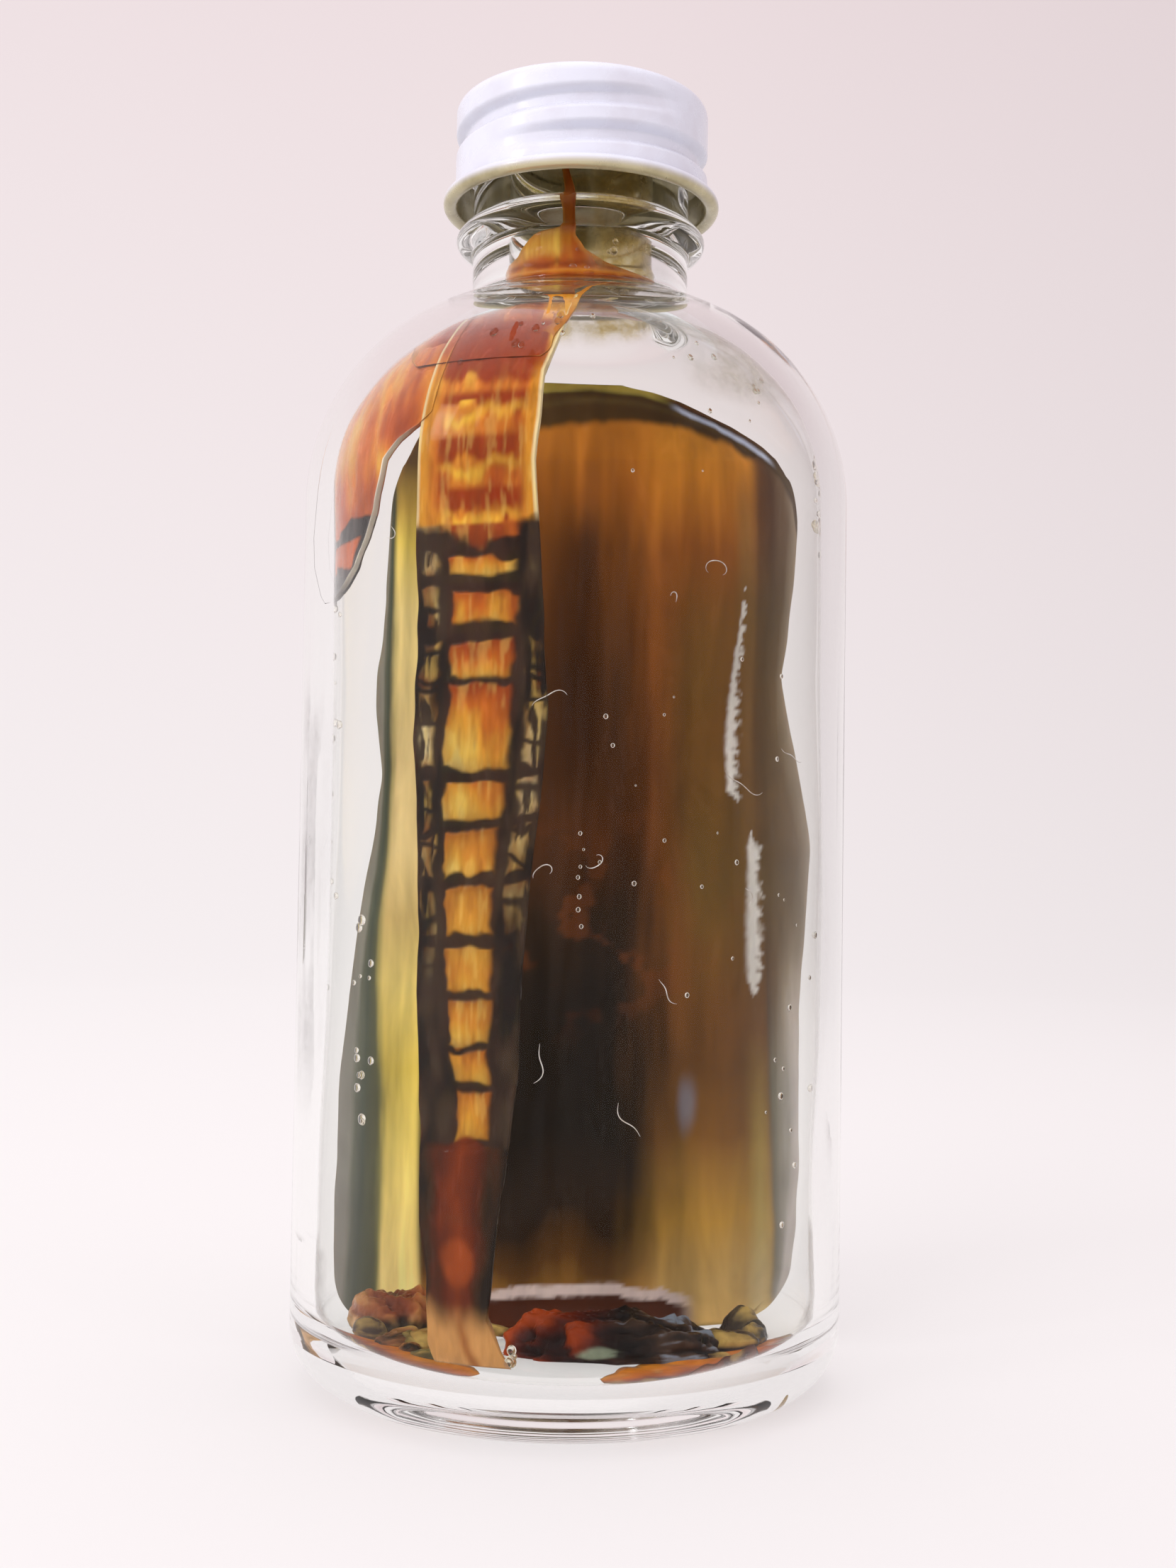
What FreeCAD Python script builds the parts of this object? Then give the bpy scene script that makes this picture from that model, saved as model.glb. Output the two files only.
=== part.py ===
"""Specimen jar: a round-shouldered glass bottle with a rolled-thread metal screw cap, a disc liner,
and its dried contents.  Millimetres, +Z up along the jar's axis, origin at the centre of the base.
-Y is the front, where the specimen clings to the inside of the wall."""
import FreeCAD, Part
import math
import os

from FreeCAD import Vector

# ---- glass bottle -------------------------------------------------------------------------------
body_diameter = 48.5
wall = 2.1
straight_top = 77.0            # height where the straight side ends and the shoulder begins
shoulder_radius = 19.0
heel_radius = 5.0
floor_thickness = 2.8
inner_heel_radius = 5.0
push_up_radius = 15.0
push_up_depth = 0.8

# ---- neck and screw finish ----------------------------------------------------------------------
neck_diameter = 19.5
bore_diameter = 13.0
neck_fillet = 2.0
bore_fillet = 3.0
neck_straight = 3.0            # plain neck below the bead
bead_height = 2.8
bead_reach = 1.5
finish_height = 9.7            # from the bead to the sealing rim
rim_round = 0.6
thread_lead = 3.175            # eight threads per inch
thread_height = 1.05
thread_root_width = 2.0
thread_crest_width = 0.9
glass_thread_from = -0.69      # turns from the front, up the helix
glass_thread_to = 0.47
glass_thread_drop = 3.3        # below the rim, where the ridge crosses the front

# ---- cap and liner ------------------------------------------------------------------------------
cap_metal = 0.25
cap_height = 9.72
cap_side_gap = 0.39            # between the glass thread's crest and the cap's side
cap_corner_radius = 1.0
cap_thread_depth = 1.05
cap_thread_root_width = 1.5
cap_thread_crest_width = 0.7
cap_thread_from = -1.12
cap_thread_to = 0.15
cap_groove_depth = 0.6
curl_radius = 0.665
curl_open_angle = 60.0
board_thickness = 0.85
facing_thickness = 0.15
seat_gap = 0.05

# ---- contents -----------------------------------------------------------------------------------
content_gap = 0.10             # between any content and the glass or another content
patch_steps = 5                # sections to each stretch of a content's outline
medium_face_y = 5.8            # where the set medium's free face stands, behind the axis
medium_bend_height = 3.0       # above the straight side, where that face starts to fall back
medium_slope = 0.50            # how far it falls back per millimetre of height
trunk_foot_height = 4.1        # above the floor
trunk_top_height = 8.5         # above the straight side
tail_tip_depth = 9.5           # below the straight side's top
tail_top_height = 7.5
tissue_top_height = 21.0       # above the straight side's top
resin_height = 1.7
resin_width = 3.8
resin_arcs = ((-62.0, -28.0), (10.0, 62.0))     # degrees round from the front

# trunk and tail: (fraction of its height, left edge, right edge in degrees from the front, thickness)
trunk_stations = (
    (0.00, -25.0, -12.5, 1.2),
    (0.06, -27.4, -14.5, 2.0),
    (0.20, -29.4, -11.8, 2.4),
    (0.42, -31.2, -8.6, 2.8),
    (0.66, -32.8, -5.2, 3.2),
    (0.84, -33.2, -7.2, 3.2),
    (0.94, -33.6, -7.6, 2.8),
    (1.00, -32.0, -5.4, 2.2),
)
tail_stations = (
    (0.00, -63.0, -60.0, 0.4),
    (0.10, -69.5, -54.5, 1.2),
    (0.35, -71.4, -46.8, 2.0),
    (0.62, -67.0, -43.0, 2.2),
    (0.80, -62.0, -38.6, 2.0),
    (1.00, -56.0, -38.0, 1.2),
)
tissue_stations = (
    (0.00, -34.0, 4.0, 2.0),
    (0.20, -44.0, 20.0, 1.8),
    (0.42, -52.0, 44.0, 1.5),
    (0.60, -50.0, 34.0, 1.2),
    (0.78, -44.0, 10.0, 1.0),
    (1.00, -30.0, 2.0, 0.6),
)

# sediment on the floor: (x, y, half length, half width, height, turn in degrees)
clump_right = (5.0, -7.4, 9.0, 4.4, 4.4, -6.0)
clump_left = (-15.2, -0.6, 4.0, 4.2, 4.8, 20.0)
flakes = (
    (-14.0, -7.2, 2.1, 1.1, 1.3, 35.0),
    (-9.6, -3.6, 1.4, 0.9, 0.7, -20.0),
    (-9.0, -8.0, 1.5, 0.8, 0.8, 60.0),
    (-10.6, -10.6, 1.8, 0.9, 1.0, 10.0),
    (-6.0, 1.4, 1.8, 0.8, 0.6, -35.0),
    (16.0, 0.8, 1.9, 1.2, 1.6, 25.0),
    (1.4, 1.6, 1.5, 0.7, 0.6, 5.0),
)

# ---- worked out from the sizes above ------------------------------------------------------------
body_radius = body_diameter / 2
inner_radius = body_radius - wall
shoulder_centre_r = body_radius - shoulder_radius
inner_shoulder_radius = shoulder_radius - wall
neck_radius = neck_diameter / 2
bore_radius = bore_diameter / 2
neck_base_z = straight_top + math.sqrt(
    (shoulder_radius + neck_fillet) ** 2 - (neck_radius + neck_fillet - shoulder_centre_r) ** 2)
bore_base_z = straight_top + math.sqrt(
    (inner_shoulder_radius + bore_fillet) ** 2 - (bore_radius + bore_fillet - shoulder_centre_r) ** 2)
bead_low_z = neck_base_z + neck_straight
bead_top_z = bead_low_z + bead_height
rim_z = bead_top_z + finish_height
thread_crest_radius = neck_radius + thread_height
cap_inner_radius = thread_crest_radius + cap_side_gap
cap_outer_radius = cap_inner_radius + cap_metal
liner_radius = cap_outer_radius - cap_corner_radius
facing_z = rim_z + seat_gap
board_z = facing_z + facing_thickness
cap_inner_top_z = board_z + board_thickness + seat_gap
cap_top_z = cap_inner_top_z + cap_metal
cap_bottom_z = cap_top_z - cap_height
curl_centre_z = cap_bottom_z + curl_radius
curl_centre_r = cap_inner_radius + curl_radius
floor_z = floor_thickness


def polar(radius, degrees_from_front, z):
    """The point at that radius and height, its angle counted from the front, positive towards +X."""
    angle = math.radians(degrees_from_front)
    return Vector(radius * math.sin(angle), -radius * math.cos(angle), z)


def turn_profile(edges):
    """A solid of revolution about the jar's axis from a closed profile in the XZ plane."""
    face = Part.Face(Part.Wire(edges))
    return face.revolve(Vector(0, 0, 0), Vector(0, 0, 1), 360)


def line(a, b):
    """A straight profile edge between two (radius, height) points."""
    return Part.LineSegment(Vector(a[0], 0, a[1]), Vector(b[0], 0, b[1])).toShape()


def arc(a, centre, b):
    """A profile arc of less than half a turn from a to b about a centre."""
    radius = math.hypot(a[0] - centre[0], a[1] - centre[1])
    along = (a[0] + b[0] - 2 * centre[0], a[1] + b[1] - 2 * centre[1])
    reach = math.hypot(*along)
    middle = Vector(centre[0] + along[0] * radius / reach, 0, centre[1] + along[1] * radius / reach)
    return Part.Arc(Vector(a[0], 0, a[1]), middle, Vector(b[0], 0, b[1])).toShape()


def tangent_point(centre, radius, other):
    """Where the circle meets the line from its centre to another centre."""
    reach = math.hypot(other[0] - centre[0], other[1] - centre[1])
    return (centre[0] + (other[0] - centre[0]) * radius / reach,
            centre[1] + (other[1] - centre[1]) * radius / reach)


def cavity(gap, top_z):
    """The space inside the bottle, drawn in by a gap all round, from the floor up to top_z."""
    side = inner_radius - gap
    low = floor_z + gap
    heel = inner_heel_radius - gap
    heel_centre = (side - heel, low + heel)
    shoulder = inner_shoulder_radius - gap
    shoulder_centre = (shoulder_centre_r, straight_top)
    fillet_centre = (bore_radius + bore_fillet, bore_base_z)
    joint = tangent_point(shoulder_centre, shoulder, fillet_centre)
    bore = bore_radius - gap
    return turn_profile([
        line((0, low), (heel_centre[0], low)),
        arc((heel_centre[0], low), heel_centre, (side, heel_centre[1])),
        line((side, heel_centre[1]), (side, straight_top)),
        arc((side, straight_top), shoulder_centre, joint),
        arc(joint, fillet_centre, (bore, bore_base_z)),
        line((bore, bore_base_z), (bore, top_z)),
        line((bore, top_z), (0, top_z)),
        line((0, top_z), (0, low)),
    ])


def inner_radius_at(z):
    """Radius of the bottle's inner wall at a height above the heel."""
    fillet_centre = (bore_radius + bore_fillet, bore_base_z)
    joint = tangent_point((shoulder_centre_r, straight_top), inner_shoulder_radius, fillet_centre)
    if z <= straight_top:
        return inner_radius
    if z <= joint[1]:
        return shoulder_centre_r + math.sqrt(inner_shoulder_radius ** 2 - (z - straight_top) ** 2)
    if z < bore_base_z:
        return fillet_centre[0] - math.sqrt(bore_fillet ** 2 - (bore_base_z - z) ** 2)
    return bore_radius


def helix_ridge(root_radius, crest_radius, root_width, crest_width, from_turns, to_turns, front_z):
    """A right-handed thread ridge whose helix crosses the front at front_z.  Turns count from the front."""
    turns = to_turns - from_turns
    helix = Part.makeHelix(thread_lead, thread_lead * turns, root_radius)
    start = root_radius
    section = Part.makePolygon([
        Vector(start, 0, -root_width / 2),
        Vector(crest_radius, 0, -crest_width / 2),
        Vector(crest_radius, 0, crest_width / 2),
        Vector(start, 0, root_width / 2),
        Vector(start, 0, -root_width / 2)])
    ridge = Part.Wire(helix.Edges).makePipeShell([section], True, True)
    ridge.rotate(Vector(0, 0, 0), Vector(0, 0, 1), -90 + 360 * from_turns)
    ridge.translate(Vector(0, 0, front_z + thread_lead * from_turns))
    return ridge


def glass_bottle():
    """Round-shouldered bottle: heel, straight side, arched shoulder, bead, threaded neck, round rim."""
    neck_centre = (neck_radius + neck_fillet, neck_base_z)
    shoulder_centre = (shoulder_centre_r, straight_top)
    joint = tangent_point(shoulder_centre, shoulder_radius, neck_centre)
    bead_mid_z = (bead_low_z + bead_top_z) / 2
    bead = Part.Arc(Vector(neck_radius, 0, bead_low_z),
                    Vector(neck_radius + bead_reach, 0, bead_mid_z),
                    Vector(neck_radius, 0, bead_top_z)).toShape()
    push_up = Part.Arc(Vector(0, 0, push_up_depth),
                       Vector(push_up_radius / 2, 0, push_up_depth * 0.75),
                       Vector(push_up_radius, 0, 0)).toShape()
    outside = turn_profile([
        push_up,
        line((push_up_radius, 0), (body_radius - heel_radius, 0)),
        arc((body_radius - heel_radius, 0), (body_radius - heel_radius, heel_radius),
            (body_radius, heel_radius)),
        line((body_radius, heel_radius), (body_radius, straight_top)),
        arc((body_radius, straight_top), shoulder_centre, joint),
        arc(joint, neck_centre, (neck_radius, neck_base_z)),
        line((neck_radius, neck_base_z), (neck_radius, bead_low_z)),
        bead,
        line((neck_radius, bead_top_z), (neck_radius, rim_z - rim_round)),
        arc((neck_radius, rim_z - rim_round), (neck_radius - rim_round, rim_z - rim_round),
            (neck_radius - rim_round, rim_z)),
        line((neck_radius - rim_round, rim_z), (0, rim_z)),
        line((0, rim_z), (0, push_up_depth)),
    ])
    root_sink = 0.15
    ridge = helix_ridge(neck_radius - root_sink, thread_crest_radius, thread_root_width,
                        thread_crest_width, glass_thread_from, glass_thread_to,
                        rim_z - glass_thread_drop)
    return outside.fuse(ridge).cut(cavity(0, rim_z + 1)).removeSplitter()


def cap_front_z():
    """Height where the cap's thread crosses the front: half a lead above the glass thread."""
    return rim_z - glass_thread_drop + thread_lead / 2


def cap_shell():
    """Thin pressed-metal cap: flat top, round corner, skirt with a rolled thread, and an outward curl."""
    inner_corner = cap_corner_radius - cap_metal
    corner_centre = (cap_outer_radius - cap_corner_radius, cap_top_z - cap_corner_radius)
    curl_inner = curl_radius - cap_metal
    centre = (curl_centre_r, curl_centre_z)
    shell = turn_profile([
        line((0, cap_top_z), (corner_centre[0], cap_top_z)),
        arc((corner_centre[0], cap_top_z), corner_centre, (cap_outer_radius, corner_centre[1])),
        line((cap_outer_radius, corner_centre[1]), (cap_outer_radius, curl_centre_z)),
        arc((cap_outer_radius, curl_centre_z), centre, (curl_centre_r, curl_centre_z - curl_inner)),
        arc((curl_centre_r, curl_centre_z - curl_inner), centre,
            (curl_centre_r + curl_inner, curl_centre_z)),
        arc((curl_centre_r + curl_inner, curl_centre_z), centre, curl_end(curl_inner)),
        line(curl_end(curl_inner), curl_end(curl_radius)),
        arc(curl_end(curl_radius), centre, (curl_centre_r + curl_radius, curl_centre_z)),
        arc((curl_centre_r + curl_radius, curl_centre_z), centre,
            (curl_centre_r, curl_centre_z - curl_radius)),
        arc((curl_centre_r, curl_centre_z - curl_radius), centre, (cap_inner_radius, curl_centre_z)),
        line((cap_inner_radius, curl_centre_z), (cap_inner_radius, corner_centre[1])),
        arc((cap_inner_radius, corner_centre[1]), corner_centre,
            (corner_centre[0], cap_inner_top_z)),
        line((corner_centre[0], cap_inner_top_z), (0, cap_inner_top_z)),
        line((0, cap_inner_top_z), (0, cap_top_z)),
    ])
    root_sink = cap_metal / 2
    ridge = helix_ridge(cap_inner_radius + root_sink, cap_inner_radius - cap_thread_depth,
                        cap_thread_root_width, cap_thread_crest_width, cap_thread_from,
                        cap_thread_to, cap_front_z())
    groove_width = cap_thread_root_width - 2 * cap_metal
    groove = helix_ridge(cap_outer_radius + root_sink, cap_outer_radius - cap_groove_depth,
                         groove_width, cap_metal, cap_thread_from + 0.01, cap_thread_to - 0.01,
                         cap_front_z())
    return shell.fuse(ridge).cut(groove)


def curl_end(radius):
    """Where the curled edge stops, on a circle about the curl's centre, short of the skirt."""
    angle = math.radians(180 - curl_open_angle)
    return (curl_centre_r + radius * math.cos(angle), curl_centre_z + radius * math.sin(angle))


def liner_disc(low_z, thickness):
    """One flat layer of the cap's liner."""
    return Part.makeCylinder(liner_radius, thickness, Vector(0, 0, low_z))


def set_medium():
    """The set medium behind the axis: it fills the back of the jar up to a face that falls back
    towards the shoulder."""
    bend_z = straight_top + medium_bend_height
    top_z = rim_z
    reach = 2 * body_radius
    outline = Part.makePolygon([
        Vector(-reach, medium_face_y, 0),
        Vector(-reach, medium_face_y, bend_z),
        Vector(-reach, medium_face_y + (top_z - bend_z) * medium_slope, top_z),
        Vector(-reach, reach, top_z),
        Vector(-reach, reach, 0),
        Vector(-reach, medium_face_y, 0)])
    behind = Part.Face(outline).extrude(Vector(2 * reach, 0, 0))
    return cavity(content_gap, rim_z).common(behind)


def between(first, second, share):
    """The station that lies a share of the way from one station to the next."""
    return [a + (b - a) * share for a, b in zip(first, second)]


def wall_patch(stations, low_z, high_z):
    """A swelling on the inside of the wall.  Each station is a crescent: an arc that follows the wall
    between two angles, and an inner arc that stands off it by the thickness half way between them."""
    spans = zip(stations[:-1], stations[1:])
    dense = [between(first, second, step / patch_steps)
             for first, second in spans for step in range(patch_steps)]
    sections = []
    for fraction, left, right, thickness in dense + [stations[-1]]:
        z = low_z + (high_z - low_z) * fraction
        radius = inner_radius_at(z) - content_gap * 1.5
        middle = (left + right) / 2
        a = polar(radius, left, z)
        b = polar(radius, right, z)
        outer = Part.Arc(a, polar(radius, middle, z), b).toShape()
        inner = Part.Arc(b, polar(radius - thickness, middle, z), a).toShape()
        sections.append(Part.Wire([outer, inner]))
    patch = Part.makeLoft(sections, True, False)
    return patch.common(cavity(content_gap, rim_z))


def specimen_trunk():
    """The long banded body, from its foot near the floor up to the shoulder."""
    return wall_patch(trunk_stations, floor_z + trunk_foot_height, straight_top + trunk_top_height)


def specimen_tail():
    """The shorter lobe beside the trunk that hangs down and ends in a point."""
    return wall_patch(tail_stations, straight_top - tail_tip_depth, straight_top + tail_top_height)


def neck_tissue():
    """Dried tissue across the shoulder and up into the neck."""
    low_z = straight_top + trunk_top_height + 2 * content_gap
    return wall_patch(tissue_stations, low_z, straight_top + tissue_top_height)


def heel_resin():
    """Hardened resin in the heel, in two arcs with a clear stretch between them."""
    resin_top = floor_z + resin_height
    inner = inner_radius - resin_width
    arcs = []
    for start, end in resin_arcs:
        sector = Part.makeCylinder(body_radius, resin_top, Vector(0, 0, 0), Vector(0, 0, 1), end - start)
        sector.rotate(Vector(0, 0, 0), Vector(0, 0, 1), start - 90)
        ring = sector.cut(Part.makeCylinder(inner, resin_top))
        arcs.append(ring.common(cavity(content_gap, rim_z)))
    return Part.makeCompound(arcs)


def floor_lump(x, y, half_length, half_width, height, turn):
    """An oval lump on the floor, broad below and narrower above."""
    low_z = floor_z + content_gap
    long_half = max(half_length, half_width)
    short_half = min(half_length, half_width)
    quarter = 90 if half_width > half_length else 0
    sections = []
    for share, level in ((1.0, 0.0), (0.94, 0.55), (0.62, 1.0)):
        ellipse = Part.Ellipse(Vector(0, 0, low_z + height * level), long_half * share, short_half * share)
        sections.append(Part.Wire([ellipse.toShape()]))
    lump = Part.makeLoft(sections, True, False)
    lump.rotate(Vector(0, 0, 0), Vector(0, 0, 1), turn + quarter)
    lump.translate(Vector(x, y, 0))
    return lump.common(cavity(content_gap, rim_z))


def sediment_flakes():
    """Small loose flakes that lie round the clumps."""
    return Part.makeCompound([floor_lump(*flake) for flake in flakes])


def main():
    os.makedirs("parts", exist_ok=True)
    nodes = {
        "glass_bottle": glass_bottle(),
        "cap_shell": cap_shell(),
        "liner_board": liner_disc(board_z, board_thickness),
        "liner_facing": liner_disc(facing_z, facing_thickness),
        "set_medium": set_medium(),
        "specimen_trunk": specimen_trunk(),
        "specimen_tail": specimen_tail(),
        "neck_tissue": neck_tissue(),
        "heel_resin": heel_resin(),
        "sediment_clump_right": floor_lump(*clump_right),
        "sediment_clump_left": floor_lump(*clump_left),
        "sediment_flakes": sediment_flakes(),
    }
    for name, shape in nodes.items():
        shape.exportStep(os.path.join("parts", name + ".step"))
        box = shape.BoundBox
        print(name, "valid" if shape.isValid() else "INVALID", "solids", len(shape.Solids),
              "volume %.1f" % shape.Volume, "z %.2f to %.2f" % (box.ZMin, box.ZMax))


main()
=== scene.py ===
import math

import bpy
import numpy as np
from mathutils import Matrix, Vector


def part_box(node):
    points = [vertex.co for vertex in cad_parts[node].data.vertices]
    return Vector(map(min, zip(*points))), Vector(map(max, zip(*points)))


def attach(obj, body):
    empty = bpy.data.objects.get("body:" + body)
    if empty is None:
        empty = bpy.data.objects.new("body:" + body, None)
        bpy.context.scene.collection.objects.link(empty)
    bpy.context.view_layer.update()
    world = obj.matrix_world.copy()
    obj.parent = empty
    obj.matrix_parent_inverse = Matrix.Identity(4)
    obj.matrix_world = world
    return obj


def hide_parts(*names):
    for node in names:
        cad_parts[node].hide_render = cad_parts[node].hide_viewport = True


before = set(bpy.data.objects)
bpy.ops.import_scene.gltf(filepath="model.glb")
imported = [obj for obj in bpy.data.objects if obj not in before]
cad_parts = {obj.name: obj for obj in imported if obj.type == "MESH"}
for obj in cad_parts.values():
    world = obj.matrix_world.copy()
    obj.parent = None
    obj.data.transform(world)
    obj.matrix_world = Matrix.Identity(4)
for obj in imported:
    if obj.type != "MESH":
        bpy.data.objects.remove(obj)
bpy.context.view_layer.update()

# ---- sizes, in metres unless a name says otherwise -------------------------------------------------
MM = 0.001
FRONT = -math.pi / 2                      # the angle round the jar's axis that faces the camera
bottle_low, bottle_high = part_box("glass_bottle")
cap_low, cap_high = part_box("cap_shell")
BODY_R = bottle_high.x
RIM_Z = bottle_high.z
CAP_TOP = cap_high.z
CAP_BOTTOM = cap_low.z
CURL_OUT = cap_high.x
WALL = 2.1 * MM
STRAIGHT_TOP = 77 * MM
SHOULDER_R = 19 * MM
HEEL_R = 5 * MM
FLOOR_Z = 2.8 * MM
NECK_R = 9.75 * MM
BORE_R = 6.5 * MM
NECK_FILLET = 2 * MM
BORE_FILLET = 3 * MM
LEAD = 3.175 * MM
INNER_R = BODY_R - WALL
SHOULDER_C = BODY_R - SHOULDER_R
GLASS_THREAD_FRONT = RIM_Z - 3.3 * MM      # height where the glass thread crosses the front
CAP_THREAD_FRONT = GLASS_THREAD_FRONT + LEAD / 2
CAP_R = NECK_R + (1.05 + 0.39 + 0.25) * MM
CAP_METAL = 0.25 * MM
CURL_R = 0.665 * MM
NECK_BASE = STRAIGHT_TOP + math.sqrt((SHOULDER_R + NECK_FILLET) ** 2 - (NECK_R + NECK_FILLET - SHOULDER_C) ** 2)
BORE_BASE = STRAIGHT_TOP + math.sqrt((SHOULDER_R - WALL + BORE_FILLET) ** 2
                                     - (BORE_R + BORE_FILLET - SHOULDER_C) ** 2)
BEAD_LOW = NECK_BASE + 3 * MM
BEAD_HIGH = BEAD_LOW + 2.8 * MM


# ---- working with whole arrays --------------------------------------------------------------------
def smoothstep(edge0, edge1, x):
    """0 below edge0, 1 above edge1, and a cubic S between them."""
    t = np.clip((np.asarray(x, float) - edge0) / (edge1 - edge0), 0, 1)
    return t * t * (3 - 2 * t)


def bump_at(x, centre, width):
    """A smooth hump of height 1 at centre that falls to 0 at one width either side."""
    return smoothstep(1, 0, np.abs((np.asarray(x, float) - centre) / width))


def hashed(cell, seed):
    """A fixed pseudo-random number in 0..1 for each whole-number lattice cell."""
    n = (cell[..., 0] * 374761393 + cell[..., 1] * 668265263 + cell[..., 2] * 1274126177 + seed * 974634777)
    n = (n ^ (n >> 13)) * 1103515245
    return ((n ^ (n >> 16)) & 0xFFFFFF) / float(0xFFFFFF)


def value_noise(points, size, seed=0):
    """Lattice noise in -1..1: hashed corner values blended by an S-curve inside each cell of that size."""
    p = np.asarray(points, float) / size
    cell = np.floor(p).astype(np.int64)
    f = p - cell
    f = f * f * (3 - 2 * f)
    total = 0
    for dx in (0, 1):
        for dy in (0, 1):
            for dz in (0, 1):
                w = ((f[..., 0] if dx else 1 - f[..., 0]) * (f[..., 1] if dy else 1 - f[..., 1])
                     * (f[..., 2] if dz else 1 - f[..., 2]))
                total = total + w * hashed(cell + np.array([dx, dy, dz]), seed)
    return total * 2 - 1


def cloudy(points, size, seed=0, octaves=3):
    """Sum of value noises, each half the size and half the strength of the one before."""
    return sum(value_noise(points, size / 2 ** k, seed + k) / 2 ** k for k in range(octaves))


def polar(radius, angle, z):
    """Points at a radius and an angle round the axis, stacked as (..., 3)."""
    radius, angle, z = np.broadcast_arrays(np.asarray(radius, float), angle, z)
    return np.stack([radius * np.cos(angle), radius * np.sin(angle), z], -1)


def stretch(a, b, n):
    """n points from a up to but not including b, as (n, 2)."""
    t = np.arange(n)[:, None] / n
    return np.asarray(a) * (1 - t) + np.asarray(b) * t


def sweep(centre, radius, start, end, n):
    """n points of a profile arc from one angle (degrees) up to but not including another."""
    t = np.radians(start + (end - start) * np.arange(n) / n)
    return np.stack([centre[0] + radius * np.cos(t), centre[1] + radius * np.sin(t)], -1)


# ---- meshes ----------------------------------------------------------------------------------------
def add_mesh(name, verts, quads, tris=()):
    """A mesh object at the origin; its faces are turned outwards by the sign of the enclosed volume."""
    quads = np.asarray(quads, np.int64).reshape(-1, 4)
    tris = np.asarray(tris, np.int64).reshape(-1, 3)
    fan = np.concatenate([quads[:, [0, 1, 2]], quads[:, [0, 2, 3]], tris])
    a, b, c = verts[fan[:, 0]], verts[fan[:, 1]], verts[fan[:, 2]]
    if np.einsum("ij,ij->i", a, np.cross(b, c)).sum() < 0:
        quads, tris = quads[:, ::-1], tris[:, ::-1]
    mesh = bpy.data.meshes.new(name)
    loops = np.concatenate([quads.ravel(), tris.ravel()])
    totals = np.concatenate([np.full(len(quads), 4), np.full(len(tris), 3)])
    mesh.vertices.add(len(verts))
    mesh.vertices.foreach_set("co", np.asarray(verts, np.float32).ravel())
    mesh.loops.add(len(loops))
    mesh.loops.foreach_set("vertex_index", loops.astype(np.int32))
    mesh.polygons.add(len(totals))
    mesh.polygons.foreach_set("loop_start", (np.cumsum(totals) - totals).astype(np.int32))
    mesh.polygons.foreach_set("loop_total", totals.astype(np.int32))
    mesh.polygons.foreach_set("use_smooth", np.ones(len(totals), bool))
    mesh.update(calc_edges=True)
    mesh.validate()
    obj = bpy.data.objects.new(name, mesh)
    bpy.context.scene.collection.objects.link(obj)
    return obj


def tube_quads(rows, cols):
    """Quads of a grid whose columns wrap round."""
    i = np.arange(rows - 1)[:, None] * cols
    j = np.arange(cols)[None, :]
    k = (j + 1) % cols
    return np.stack([i + j, i + k, i + cols + k, i + cols + j], -1).reshape(-1, 4)


def pole_tris(ring_start, cols, pole, flip):
    """A fan that closes a ring of the grid on one vertex."""
    j = np.arange(cols)
    k = (j + 1) % cols
    fan = np.stack([ring_start + j, ring_start + k, np.full(cols, pole)], -1)
    return fan[:, ::-1] if flip else fan


def closed_tube(name, grid):
    """Rows of wrapped rings, shape (rows, cols, 3), closed at both ends on the mean of the end ring."""
    rows, cols = grid.shape[:2]
    verts = np.concatenate([grid.reshape(-1, 3), grid[:1].mean(1), grid[-1:].mean(1)])
    tris = np.concatenate([pole_tris(0, cols, rows * cols, True),
                           pole_tris((rows - 1) * cols, cols, rows * cols + 1, False)])
    return add_mesh(name, verts, tube_quads(rows, cols), tris)


def store(obj, name, values):
    """Keeps one number per vertex as an attribute for the materials; the last one is used for end poles."""
    values = np.asarray(values, np.float32).ravel()
    values = np.concatenate([values, np.full(len(obj.data.vertices) - len(values), values[-1], np.float32)])
    layer = obj.data.attributes.new(name, "FLOAT", "POINT")
    layer.data.foreach_set("value", values)


def store_colour(obj, name, rgb):
    """Keeps one linear colour per vertex as an attribute; spare vertices repeat the last one."""
    rgb = np.asarray(rgb, np.float32).reshape(-1, 3)
    spare = np.repeat(rgb[-1:], len(obj.data.vertices) - len(rgb), 0)
    rgba = np.concatenate([np.concatenate([rgb, spare]), np.ones((len(obj.data.vertices), 1), np.float32)], 1)
    layer = obj.data.attributes.new(name, "FLOAT_COLOR", "POINT")
    layer.data.foreach_set("color", rgba.ravel())


def softened(values, reach):
    """A column of values averaged over reach rows by a raised-cosine window, its ends held."""
    window = 0.5 - 0.5 * np.cos(2 * math.pi * (np.arange(2 * reach + 1) + 0.5) / (2 * reach + 1))
    held = np.concatenate([np.full(reach, values[0, 0]), values[:, 0], np.full(reach, values[-1, 0])])
    return np.convolve(held, window / window.sum(), "valid")[:, None]


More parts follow.
